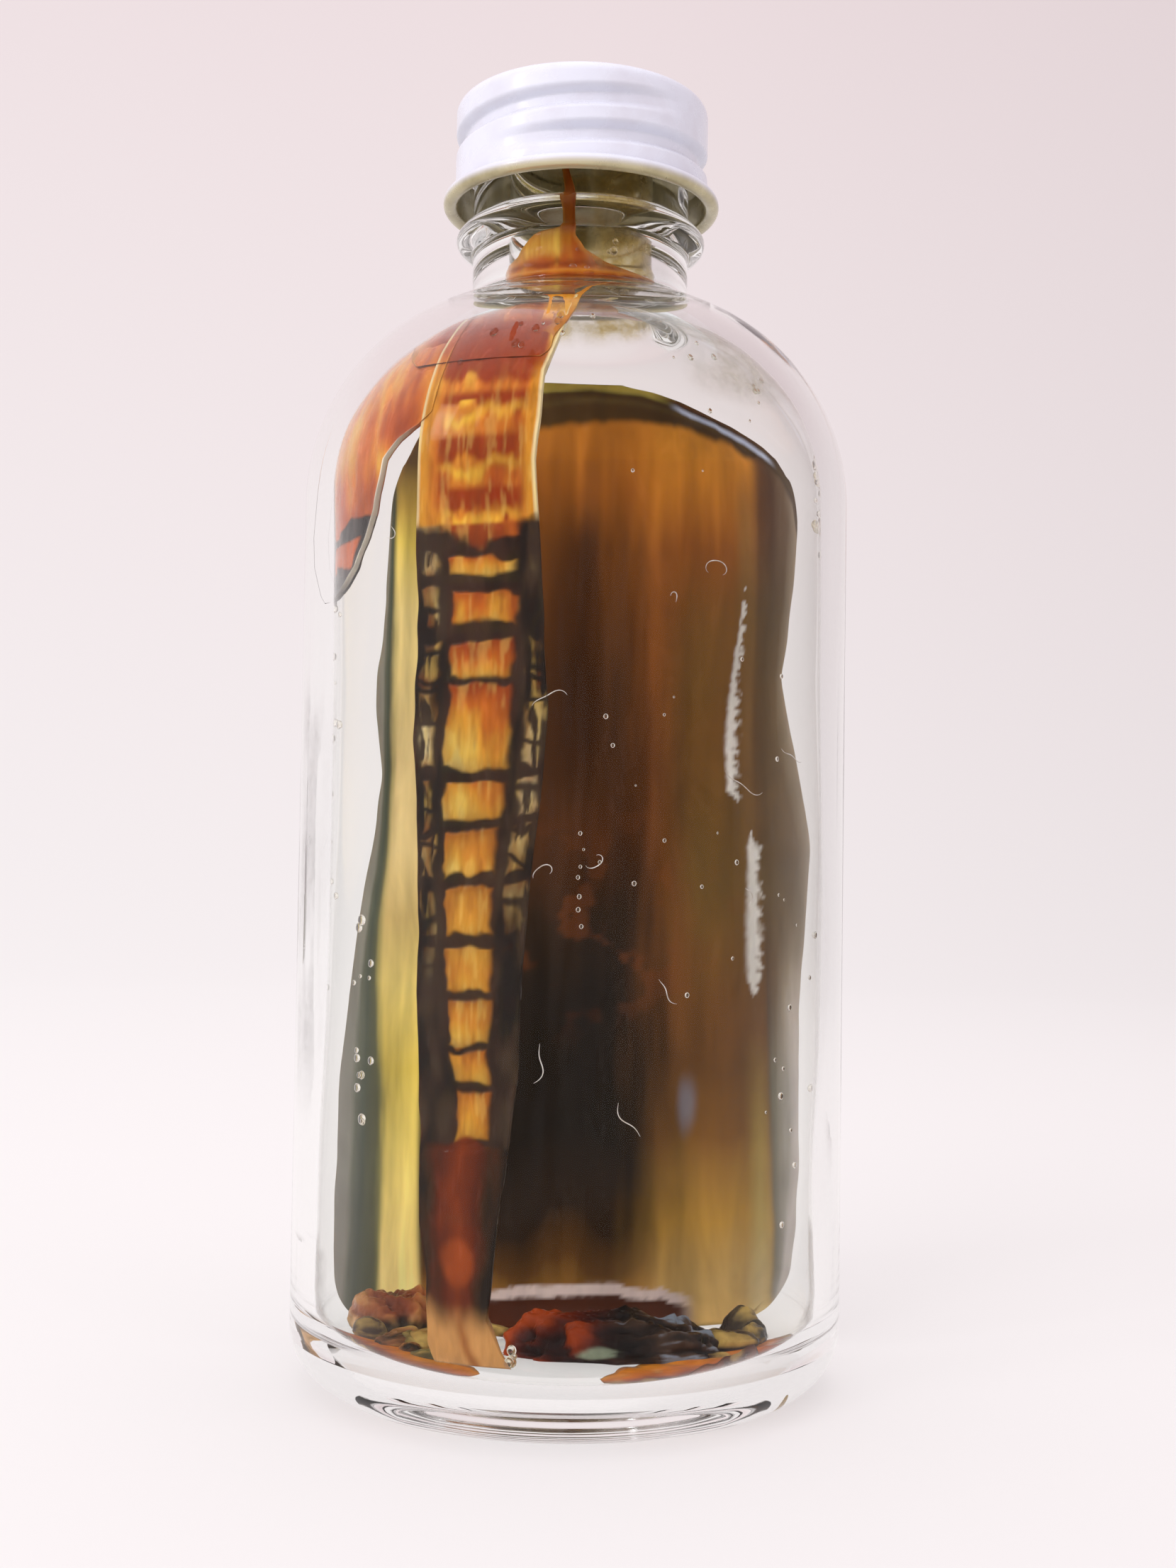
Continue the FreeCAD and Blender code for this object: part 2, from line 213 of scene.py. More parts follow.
def inner_radius(z):
    """Radius of the bottle's inner wall at a height: straight side, shoulder arc, fillet, bore."""
    z = np.asarray(z, float)
    rs = SHOULDER_R - WALL
    reach = rs + BORE_FILLET
    joint_z = STRAIGHT_TOP + (BORE_BASE - STRAIGHT_TOP) * rs / reach
    heel = INNER_R - HEEL_R + np.sqrt(np.clip(HEEL_R ** 2 - (np.clip(FLOOR_Z + HEEL_R - z, 0, HEEL_R)) ** 2, 0, None))
    shoulder = SHOULDER_C + np.sqrt(np.clip(rs ** 2 - (z - STRAIGHT_TOP) ** 2, 0, None))
    fillet = BORE_R + BORE_FILLET - np.sqrt(np.clip(BORE_FILLET ** 2 - (BORE_BASE - z) ** 2, 0, None))
    return np.where(z < STRAIGHT_TOP, heel, np.where(z < joint_z, shoulder, np.where(z < BORE_BASE, fillet, BORE_R)))


def thread_height(angle, z, front_z, start, end, root, fade):
    """0..1 height of a right-handed thread at (angle, z): a raised cosine across the ridge, with both
    ends of its run (start, end, in turns from the front) faded out."""
    share = ((angle - FRONT) / (2 * math.pi) + 0.5) % 1.0 - 0.5
    height = np.zeros(np.broadcast(angle, z).shape)
    for whole in (-2, -1, 0, 1):
        turn = share + whole
        across = np.clip(np.abs(z - front_z - LEAD * turn) / (root / 2), 0, 1)
        ridge = np.clip((0.5 + 0.5 * np.cos(math.pi * across)) * 1.35, 0, 1)
        ends = smoothstep(start, start + fade, turn) * smoothstep(end, end - fade, turn)
        height = np.maximum(height, ridge * ends)
    return height


# ---- materials -------------------------------------------------------------------------------------
def new_material(name):
    """A material with a Principled shader; returns the material, its node tree and the shader."""
    material = bpy.data.materials.new(name)
    material.use_nodes = True
    tree = material.node_tree
    return material, tree, tree.nodes["Principled BSDF"]


def link(tree, source, target):
    tree.links.new(source, target)


def object_coords(tree):
    return tree.nodes.new("ShaderNodeTexCoord").outputs["Object"]


def scaled_coords(tree, coords, scale):
    """Coordinates stretched by a scale on each axis."""
    mapping = tree.nodes.new("ShaderNodeMapping")
    mapping.inputs["Scale"].default_value = scale
    link(tree, coords, mapping.inputs["Vector"])
    return mapping.outputs["Vector"]


def noise(tree, coords, scale, detail=4.0, rough=0.55, distortion=0.0):
    """Noise of that many cells per metre."""
    node = tree.nodes.new("ShaderNodeTexNoise")
    node.inputs["Scale"].default_value = scale
    node.inputs["Detail"].default_value = detail
    node.inputs["Roughness"].default_value = rough
    node.inputs["Distortion"].default_value = distortion
    link(tree, coords, node.inputs["Vector"])
    return node.outputs["Fac"]


def ramp(tree, factor, stops):
    """A colour ramp with (position, colour) stops."""
    node = tree.nodes.new("ShaderNodeValToRGB")
    elements = node.color_ramp.elements
    while len(elements) < len(stops):
        elements.new(0.5)
    for element, (position, colour) in zip(elements, stops):
        element.position = position
        element.color = (*colour, 1.0)
    link(tree, factor, node.inputs["Fac"])
    return node.outputs["Color"]


def grey_ramp(tree, factor, low, high, start=0.0, end=1.0):
    return ramp(tree, factor, [(start, (low,) * 3), (end, (high,) * 3)])


def attribute(tree, name, output="Fac"):
    node = tree.nodes.new("ShaderNodeAttribute")
    node.attribute_name = name
    return node.outputs[output]


def mix(tree, factor, a, b, blend="MIX"):
    """Mixes two colours; each of factor, a and b is a socket or a plain value."""
    node = tree.nodes.new("ShaderNodeMix")
    node.data_type = "RGBA"
    node.blend_type = blend
    for index, value in ((0, factor), (6, a), (7, b)):
        socket = node.inputs[index]
        if isinstance(value, bpy.types.NodeSocket):
            link(tree, value, socket)
        elif index == 0:
            socket.default_value = value
        else:
            socket.default_value = (*value, 1.0)
    return node.outputs[2]


def math_node(tree, operation, a, b=0.5):
    node = tree.nodes.new("ShaderNodeMath")
    node.operation = operation
    for index, value in enumerate((a, b)):
        if isinstance(value, bpy.types.NodeSocket):
            link(tree, value, node.inputs[index])
        else:
            node.inputs[index].default_value = value
    return node.outputs[0]


def bump(tree, shader, height, distance, strength=1.0):
    node = tree.nodes.new("ShaderNodeBump")
    node.inputs["Distance"].default_value = distance
    node.inputs["Strength"].default_value = strength
    link(tree, height, node.inputs["Height"])
    link(tree, node.outputs["Normal"], shader.inputs["Normal"])


def clear_glass():
    """Clear flint glass with a trace of green, faint handling film and moulded ripple."""
    material, tree, shader = new_material("clear_flint_glass")
    coords = object_coords(tree)
    film = noise(tree, scaled_coords(tree, coords, (1, 1, 0.25)), 160, 5, 0.6)
    link(tree, grey_ramp(tree, film, 0.0, 0.03, 0.45, 0.75), shader.inputs["Roughness"])
    ripple = noise(tree, scaled_coords(tree, coords, (1, 1, 0.2)), 120, 2, 0.4)
    bump(tree, shader, ripple, 0.03 * MM)
    shader.inputs["Base Color"].default_value = (0.975, 0.985, 0.97, 1)
    shader.inputs["Transmission Weight"].default_value = 1.0
    shader.inputs["Specular Tint"].default_value = (0.08, 0.08, 0.08, 1)
    shader.inputs["IOR"].default_value = 1.5
    return material


def cap_finish():
    """White enamel outside and gold lacquer on the curl and inside, told apart by the lacquer attribute."""
    material, tree, shader = new_material("enamel_and_gold_lacquer")
    coords = object_coords(tree)
    gold = attribute(tree, "lacquer")
    grime = noise(tree, coords, 300, 5, 0.55)
    white = mix(tree, grey_ramp(tree, grime, 0.0, 1.0, 0.42, 0.85), (0.66, 0.68, 0.77), (0.58, 0.57, 0.64))
    brass = mix(tree, grey_ramp(tree, grime, 0.0, 1.0, 0.42, 0.70), (0.56, 0.50, 0.30), (0.36, 0.31, 0.16))
    link(tree, mix(tree, gold, white, brass), shader.inputs["Base Color"])
    link(tree, math_node(tree, "MULTIPLY", gold, 0.35), shader.inputs["Metallic"])
    link(tree, grey_ramp(tree, grime, 0.22, 0.38, 0.3, 0.8), shader.inputs["Roughness"])
    fine = noise(tree, coords, 1400, 3, 0.5)
    bump(tree, shader, fine, 0.004 * MM)
    shader.inputs["Coat Weight"].default_value = 0.35
    shader.inputs["Coat Roughness"].default_value = 0.12
    return material


# ---- bottle ----------------------------------------------------------------------------------------
def bottle_profile():
    """Outline of the glass from the middle of the base, up the outside, over the rim and down inside."""
    neck_c = (NECK_R + NECK_FILLET, NECK_BASE)
    tilt = math.degrees(math.atan2(neck_c[1] - STRAIGHT_TOP, neck_c[0] - SHOULDER_C))
    bore_c = (BORE_R + BORE_FILLET, BORE_BASE)
    inner_tilt = math.degrees(math.atan2(bore_c[1] - STRAIGHT_TOP, bore_c[0] - SHOULDER_C))
    push = np.linspace(0.06, 1, 14)
    push_r = 15 * MM
    base = np.stack([push * push_r, 0.8 * MM * (1 - push ** 2)], -1)
    bead_t = np.linspace(0, 1, 26)[:-1]
    bead = np.stack([NECK_R + 1.5 * MM * np.sin(math.pi * bead_t) ** 0.8,
                     BEAD_LOW + (BEAD_HIGH - BEAD_LOW) * bead_t], -1)
    rim = 0.6 * MM
    inner_rim = 0.9 * MM
    outside = [
        base,
        stretch((push_r + 0.3 * MM, 0), (BODY_R - HEEL_R, 0), 5),
        sweep((BODY_R - HEEL_R, HEEL_R), HEEL_R, -90, 0, 18),
        stretch((BODY_R, HEEL_R), (BODY_R, STRAIGHT_TOP), 30),
        sweep((SHOULDER_C, STRAIGHT_TOP), SHOULDER_R, 0, tilt, 40),
        sweep(neck_c, NECK_FILLET, tilt - 180, -180, 12),
        stretch((NECK_R, NECK_BASE), (NECK_R, BEAD_LOW), 5),
        bead,
        stretch((NECK_R, BEAD_HIGH), (NECK_R, RIM_Z - rim), 84),
        sweep((NECK_R - rim, RIM_Z - rim), rim, 0, 90, 8),
        stretch((NECK_R - rim, RIM_Z), (BORE_R + inner_rim, RIM_Z), 4),
        sweep((BORE_R + inner_rim, RIM_Z - inner_rim), inner_rim, 90, 180, 8),
    ]
    inside = [
        stretch((BORE_R, RIM_Z - inner_rim), (BORE_R, BORE_BASE), 12),
        sweep(bore_c, BORE_FILLET, -180, inner_tilt - 180, 14),
        sweep((SHOULDER_C, STRAIGHT_TOP), SHOULDER_R - WALL, inner_tilt, 0, 36),
        stretch((INNER_R, STRAIGHT_TOP), (INNER_R, FLOOR_Z + HEEL_R), 34),
        sweep((INNER_R - HEEL_R, FLOOR_Z + HEEL_R), HEEL_R, 0, -90, 16),
        stretch((INNER_R - HEEL_R, FLOOR_Z), (1.2 * MM, FLOOR_Z), 8),
    ]
    return np.concatenate(outside), np.concatenate(inside)


def bottle_glass():
    """The blown bottle: the profile turned about the axis, plus the thread ridge on the neck, a slight
    waviness of the inner wall and two faint mould seams."""
    outside, inside = bottle_profile()
    cols = 192
    angle = np.arange(cols) / cols * 2 * math.pi
    r = np.concatenate([outside[:, 0], inside[:, 0]])[:, None]
    z = np.concatenate([outside[:, 1], inside[:, 1]])[:, None]
    is_inner = np.concatenate([np.zeros(len(outside)), np.ones(len(inside))])[:, None]
    ridge = thread_height(angle, z, GLASS_THREAD_FRONT, -0.69, 0.47, 2.2 * MM, 0.07)
    on_finish = (z > BEAD_HIGH) * (z < RIM_Z - 0.6 * MM) * (1 - is_inner)
    where = polar(r, angle, z)
    wave = cloudy(where * np.array([1, 1, 0.35]), 14 * MM, 5) * smoothstep(9 * MM, 14 * MM, r)
    seam = (bump_at(np.cos(angle), 1, 0.0006) + bump_at(np.cos(angle), -1, 0.0006)) * (z < BEAD_LOW) * (r > 16 * MM)
    radius = r + ridge * on_finish * 1.05 * MM + is_inner * wave * 0.10 * MM * (z > 12 * MM)
    radius = radius + (1 - is_inner) * seam * 0.04 * MM * (z > 6 * MM) * (z < 90 * MM)
    obj = closed_tube("bottle_glass", polar(radius, angle, z + 0 * radius))
    obj.data.materials.append(clear_glass())
    obj.visible_shadow = False
    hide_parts("glass_bottle")
    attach(obj, "jar")
    return obj


# ---- cap -------------------------------------------------------------------------------------------
def cap_shell():
    """Pressed cap: flat top, round corner, skirt with the rolled thread sunk into it, a small flare and
    the outward curl, then back up the inside.  The curl and the inside carry the lacquer attribute."""
    corner = 1.0 * MM
    inner_corner = corner - CAP_METAL
    inner_r = CAP_R - CAP_METAL
    curl_z = CAP_BOTTOM + CURL_R
    curl_r = CURL_OUT - CURL_R
    tuck_z = curl_z + 0.56 * MM
    top = np.stack([np.linspace(0.4 * MM, CAP_R - corner, 10), np.full(10, CAP_TOP)], -1)[:-1]
    skirt = stretch((CAP_R, CAP_TOP - corner), (CAP_R, tuck_z), 84)
    flare = smoothstep(curl_z + 2.6 * MM, curl_z + 0.5 * MM, skirt[:, 1])
    skirt[:, 0] += 0.16 * MM * flare
    outside = [top, sweep((CAP_R - corner, CAP_TOP - corner), corner, 90, 0, 10), skirt]
    lacquered = [
        sweep((curl_r, curl_z), CURL_R, 128, -180, 44),
        stretch((inner_r, curl_z), (inner_r, CAP_TOP - corner), 84),
        sweep((CAP_R - corner, CAP_TOP - corner), inner_corner, 0, 90, 8),
        np.stack([np.linspace(CAP_R - corner, 0.4 * MM, 8), np.full(8, CAP_TOP - CAP_METAL)], -1),
    ]
    split = sum(len(part) for part in outside)
    profile = np.concatenate(outside + lacquered)
    cols = 200
    angle = np.arange(cols) / cols * 2 * math.pi
    r, z = profile[:, :1], profile[:, 1:]
    groove = thread_height(angle, z, CAP_THREAD_FRONT, -1.12, 0.15, 2.3 * MM, 0.12)
    on_skirt = (r > CAP_R - 0.6 * MM) * smoothstep(curl_z + 0.8 * MM, curl_z + 1.6 * MM, z)
    on_skirt = on_skirt * smoothstep(CAP_TOP - 0.7 * MM, CAP_TOP - 1.3 * MM, z)
    dent = cloudy(polar(r, angle, z), 9 * MM, 31, 2) * (r > 6 * MM) * 0.03 * MM
    radius = r - groove * on_skirt * 0.80 * MM + dent * on_skirt
    obj = closed_tube("cap_pressed", polar(radius, angle, z + 0 * radius))
    steps = np.arange(len(profile)) - split
    lacquer = np.repeat(smoothstep(14, 24, steps.astype(float)), cols)
    store(obj, "lacquer", np.concatenate([lacquer, [0.0, 1.0]]))
    obj.data.materials.append(cap_finish())
    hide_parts("cap_shell")
    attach(obj, "cap")
    return obj


def liner_layers():
    """Finishes for the two liner layers: grey pulpboard with fibres and specks, and a waxed cream facing."""
    board, tree, shader = new_material("grey_pulpboard")
    coords = object_coords(tree)
    fibres = noise(tree, scaled_coords(tree, coords, (1, 0.25, 1)), 900, 6, 0.7, 1.2)
    specks = noise(tree, coords, 2600, 2, 0.5)
    pulp = mix(tree, grey_ramp(tree, fibres, 0.0, 1.0, 0.35, 0.68), (0.52, 0.47, 0.39), (0.33, 0.29, 0.23))
    link(tree, mix(tree, grey_ramp(tree, specks, 0.0, 0.7, 0.64, 0.74), pulp, (0.14, 0.11, 0.08)), shader.inputs["Base Color"])
    shader.inputs["Roughness"].default_value = 0.85
    bump(tree, shader, fibres, 0.05 * MM)
    facing, tree, shader = new_material("waxed_facing")
    coords = object_coords(tree)
    stain = noise(tree, coords, 210, 5, 0.6)
    cream = mix(tree, grey_ramp(tree, stain, 0.0, 1.0, 0.42, 0.72), (0.72, 0.66, 0.50), (0.46, 0.30, 0.12))
    link(tree, cream, shader.inputs["Base Color"])
    link(tree, grey_ramp(tree, stain, 0.25, 0.5, 0.35, 0.7), shader.inputs["Roughness"])
    bump(tree, shader, noise(tree, coords, 1200, 3, 0.5), 0.02 * MM)
    for node, material in (("liner_board", board), ("liner_facing", facing)):
        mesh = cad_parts[node].data
        mesh.materials.clear()
        mesh.materials.append(material)


# ---- paint worked out on whole arrays ---------------------------------------------------------------
def tone(code):
    """A linear colour from the usual six-figure display code."""
    c = np.array([int(code[i:i + 2], 16) for i in (0, 2, 4)]) / 255
    return np.where(c < 0.04045, c / 12.92, ((c + 0.055) / 1.055) ** 2.4)


def over(base, colour, weight):
    """Paints a colour over an array of colours by a weight 0..1 at each point."""
    w = np.clip(np.asarray(weight, float), 0, 1)[..., None]
    return base * (1 - w) + np.asarray(colour) * w


def blend_tones(x, stops):
    """Colours along x through (place, tone code) stops, joined by straight blends."""
    places = [p for p, _ in stops]
    codes = np.stack([tone(code) for _, code in stops])
    return np.stack([np.interp(x, places, codes[:, k]) for k in range(3)], -1)


# ---- the specimen ----------------------------------------------------------------------------------
def wall_skin(name, left, right, low, high, rows, cols, thick, near=0.0, edge=0.18, relief=None):
    """A closed skin on the inside of the wall.  Its two sheets share one grid: angle from left(z) to
    right(z), height from low to high, in degrees from the front and millimetres.  The glass-side sheet
    stands off the wall by near, the other by near plus thick(s, z), which falls to nothing over the
    share edge at each side.  Returns the object and the grid's s, angle and height."""
    z = low + (high - low) * np.linspace(0, 1, rows)[:, None]
    s = 0.5 - 0.5 * np.cos(math.pi * np.linspace(0, 1, cols))[None, :] * 0.35 \
        - 0.65 * (0.5 - np.linspace(0, 1, cols))[None, :]
    s = (s - s[:, :1]) / (s[:, -1:] - s[:, :1])
    angle = left(z) + (right(z) - left(z)) * s
    s = s + 0 * z
    z = z + 0 * s
    ends = np.sqrt(np.clip((z - low) / 1.2, 0, 1) * np.clip((high - z) / 1.2, 0, 1))
    sides = np.sqrt(np.clip(1 - np.clip(1 - s / edge, 0, 1) ** 2, 0, 1)
                    * np.clip(1 - np.clip(1 - (1 - s) / edge, 0, 1) ** 2, 0, 1))
    body = thick(s, z) * sides * ends
    wall_r = inner_radius(z * MM) / MM
    if relief is not None:
        near = near + relief(s, angle, z) * sides * ends
    glass_side = polar(wall_r - near, FRONT + np.radians(angle), z)
    room_side = polar(wall_r - near - body, FRONT + np.radians(angle), z)
    grid = np.concatenate([glass_side, room_side[:, ::-1][:, 1:-1]], 1) * MM
    obj = closed_tube(name, grid)
    keep = [np.concatenate([a, a[:, ::-1][:, 1:-1]], 1) for a in (s, angle, z)]
    return obj, keep


def paint(obj, rgb):
    """Stores the colours of a closed tube's grid, with its two pole colours from the first and last row."""
    rgb = np.clip(rgb, 0, 1)
    flat = np.concatenate([rgb.reshape(-1, 3), rgb[0].mean(0)[None], rgb[-1].mean(0)[None]])
    store_colour(obj, "paint", flat)


def wet_skin(name, rough=0.22, fine=900, coat=0.06, specular=0.10, relief=0.08):
    """Painted wet tissue: the stored paint broken up by fine streaks, a wet coat and small wrinkles."""
    material, tree, shader = new_material(name)
    coords = object_coords(tree)
    base = attribute(tree, "paint", "Color")
    streaks = noise(tree, scaled_coords(tree, coords, (1, 1, 0.22)), fine, 5, 0.62, 0.6)
    shade = grey_ramp(tree, streaks, 0.80, 1.14, 0.32, 0.68)
    link(tree, mix(tree, 0.85, base, shade, "MULTIPLY"), shader.inputs["Base Color"])
    link(tree, grey_ramp(tree, streaks, rough * 0.7, rough * 1.6, 0.3, 0.7), shader.inputs["Roughness"])
    wrinkles = noise(tree, scaled_coords(tree, coords, (1, 1, 0.4)), fine * 0.7, 4, 0.6, 0.4)
    bump(tree, shader, wrinkles, relief * MM)
    shader.inputs["Coat Weight"].default_value = coat
    shader.inputs["Coat Roughness"].default_value = 0.05
    shader.inputs["Specular IOR Level"].default_value = specular
    shader.inputs["Subsurface Weight"].default_value = 0.12
    shader.inputs["Subsurface Radius"].default_value = (1.0, 0.45, 0.15)
    shader.inputs["Subsurface Scale"].default_value = 0.8 * MM
    return material


def place(obj, slot, body, *nodes):
    """Hides the solids the piece stands for and attaches it to the body it rides on; slot is not used."""
    if nodes:
        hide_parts(*nodes)
    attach(obj, body)
    return obj


TRUNK_LOW, TRUNK_HIGH = 6.4, 91.0
NET_TOP = 72.0                             # where the black net begins
NET_FOOT = 23.4                            # its last bar
# cross bars of the net: (height in the middle, how much the right end stands higher, half thickness)
BARS = ((70.4, -1.0, 0.75), (67.3, -0.5, 0.55), (63.4, -0.1, 0.60), (59.6, 0.2, 0.16), (52.3, 0.3, 0.42),
        (48.1, 1.3, 0.34), (43.7, 0.7, 0.36), (39.2, 0.5, 0.34), (34.8, -0.4, 0.24), (30.9, 0.7, 0.22),
        (27.8, -0.5, 0.22), (23.4, 0.0, 0.30))


def trunk_left(z):
    points = ((6, -25), (8, -27.4), (13, -28.0), (17, -29.6), (25, -30.2), (35, -31.4), (46, -31.4),
              (55, -33.2), (63, -32.5), (72, -33.5), (80, -33.4), (86, -33.0), (91, -31.0))
    wobble = 0.35 * value_noise(np.stack([z * 0, z * 0, z], -1), 2.2, 3) * smoothstep(74, 68, z)
    return np.interp(z, *zip(*points)) + wobble


def trunk_right(z):
    points = ((6, -9), (7.5, -12.0), (10, -15.0), (14, -14.2), (19, -12.8), (23, -11.2), (30, -9.4), (36, -9.2),
              (44, -8.0), (52, -5.4), (58, -4.8), (68, -6.3), (77, -7.9), (84, -6.8), (87, -4.0), (91, 0.0))
    wobble = 0.30 * value_noise(np.stack([z * 0, z * 0 + 9, z], -1), 2.6, 4)
    return np.interp(z, *zip(*points)) + wobble


def cell_left(z):
    """Left side of the middle column of cells, as a share of the trunk's width."""
    return np.interp(z, (23, 27, 30, 34, 38, 44, 50, 60, 66, 72), (0.36, 0.42, 0.30, 0.29, 0.27, 0.23, 0.22, 0.26, 0.27, 0.24))


def cell_right(z):
    return np.interp(z, (23, 27, 30, 34, 38, 44, 50, 60, 66, 72), (0.78, 0.77, 0.70, 0.74, 0.72, 0.69, 0.72, 0.77, 0.80, 0.84))


def net_weight(s, angle, z):
    """0..1 darkness of the net: its cross bars, its two long lines and the broken lines beside them."""
    place_noise = np.stack([angle * 0.386, z * 0, z], -1)
    z = z + 0.32 * cloudy(place_noise, 1.7, 23, 3)
    s = s + 0.022 * cloudy(place_noise, 1.5, 29, 3)
    jitter = 0.35 * cloudy(np.stack([angle * 0.4, z * 0 + 2, z], -1), 1.1, 11, 2)
    across = np.stack([angle * 0.386, z * 0, z], -1)
    grain = cloudy(across * np.array([1, 1, 0.25]), 0.55, 17, 3)
    dark = np.zeros_like(z)
    for centre, rise, half in BARS:
        sag = 0.5 * (2 * s - 1) ** 2
        middle = centre + rise * (s - 0.5) + sag * 0.5 + jitter * 0.35
        half = half * (1.15 + 0.55 * value_noise(across, 1.3, 33)) + 0.05
        dark = np.maximum(dark, smoothstep(half + 0.22, half - 0.10, np.abs(z - middle)))
    wobble = 0.018 * value_noise(across, 1.6, 21)
    left_line, right_line = cell_left(z) + wobble, cell_right(z) + wobble
    line_half = np.interp(z, (23, 40, 60, 72), (0.05, 0.05, 0.045, 0.04))
    dark = np.maximum(dark, smoothstep(line_half + 0.025, line_half - 0.012, np.abs(s - left_line + 0.03)))
    dark = np.maximum(dark, smoothstep(line_half + 0.035, line_half - 0.012, np.abs(s - right_line - 0.05)))
    side = np.maximum(smoothstep(left_line - 0.02, left_line - 0.06, s), smoothstep(right_line + 0.04, right_line + 0.08, s))
    # side columns: tall tan cells parted by short dark bridges, closing up towards the foot
    turn = z / 3.1 + 0.4 * (s > 0.5) + 0.25 * value_noise(across, 2.4, 37)
    bridge = smoothstep(0.34, 0.47, np.abs(turn - np.floor(turn) - 0.5))
    middle = np.where(s < 0.5, 0.5 * left_line - 0.01, 0.5 * (right_line + 1.03))
    wide = np.where(s < 0.5, 0.5 * left_line - 0.055, 0.5 * (1 - right_line) - 0.045)
    slot = smoothstep(1.25, 0.6, np.abs(s - middle) / np.maximum(wide, 0.01) + 0.5 * grain)
    reach = np.interp(z, (36, 45, 69, 70.5), (0.0, 1.0, 1.0, 0.3)) * (s < 0.5) \
        + np.interp(z, (38, 46, 61.5, 64), (0.0, 1.0, 1.0, 0.05)) * (s >= 0.5)
    open_cell = slot * (1 - bridge) * reach * smoothstep(-0.75, -0.2, grain)
    dark = np.maximum(dark, side * (1 - open_cell))
    rim = np.maximum(smoothstep(0.055, 0.02, s), smoothstep(0.955, 0.985, s))
    dark = np.maximum(dark, rim * 0.9)
    return dark * smoothstep(NET_TOP + 0.5, NET_TOP - 0.5, z + jitter * 1.6 + 1.7 * bump_at(s, 0.52, 0.36)) \
        * smoothstep(NET_FOOT - 0.9, NET_FOOT - 0.2, z)


def cell_share(z):
    """0 at the bottom and 1 at the top of the cell between two bars."""
    bars = np.array([bar[0] for bar in BARS][::-1])
    index = np.clip(np.searchsorted(bars, z) - 1, 0, len(bars) - 2)
    return np.clip((z - bars[index]) / (bars[index + 1] - bars[index]), 0, 1)


def body_paint(angle, z):
    """Gold and orange skin of the upper body, on angle and height alone so that the lobes match."""
    where = np.stack([angle * 0.386, angle * 0, z], -1)
    streak = cloudy(where * np.array([1, 1, 0.30]), 1.5, 41, 4)
    blotch = cloudy(where * np.array([1, 1, 0.75]), 4.2, 47, 3)
    level = 0.5 + 0.36 * blotch + 0.34 * streak
    rgb = blend_tones(level, [(0.0, "93380f"), (0.35, "b4561b"), (0.6, "c87024"), (0.85, "d68c2c"), (1.1, "dba63a")])
    return rgb, streak, blotch


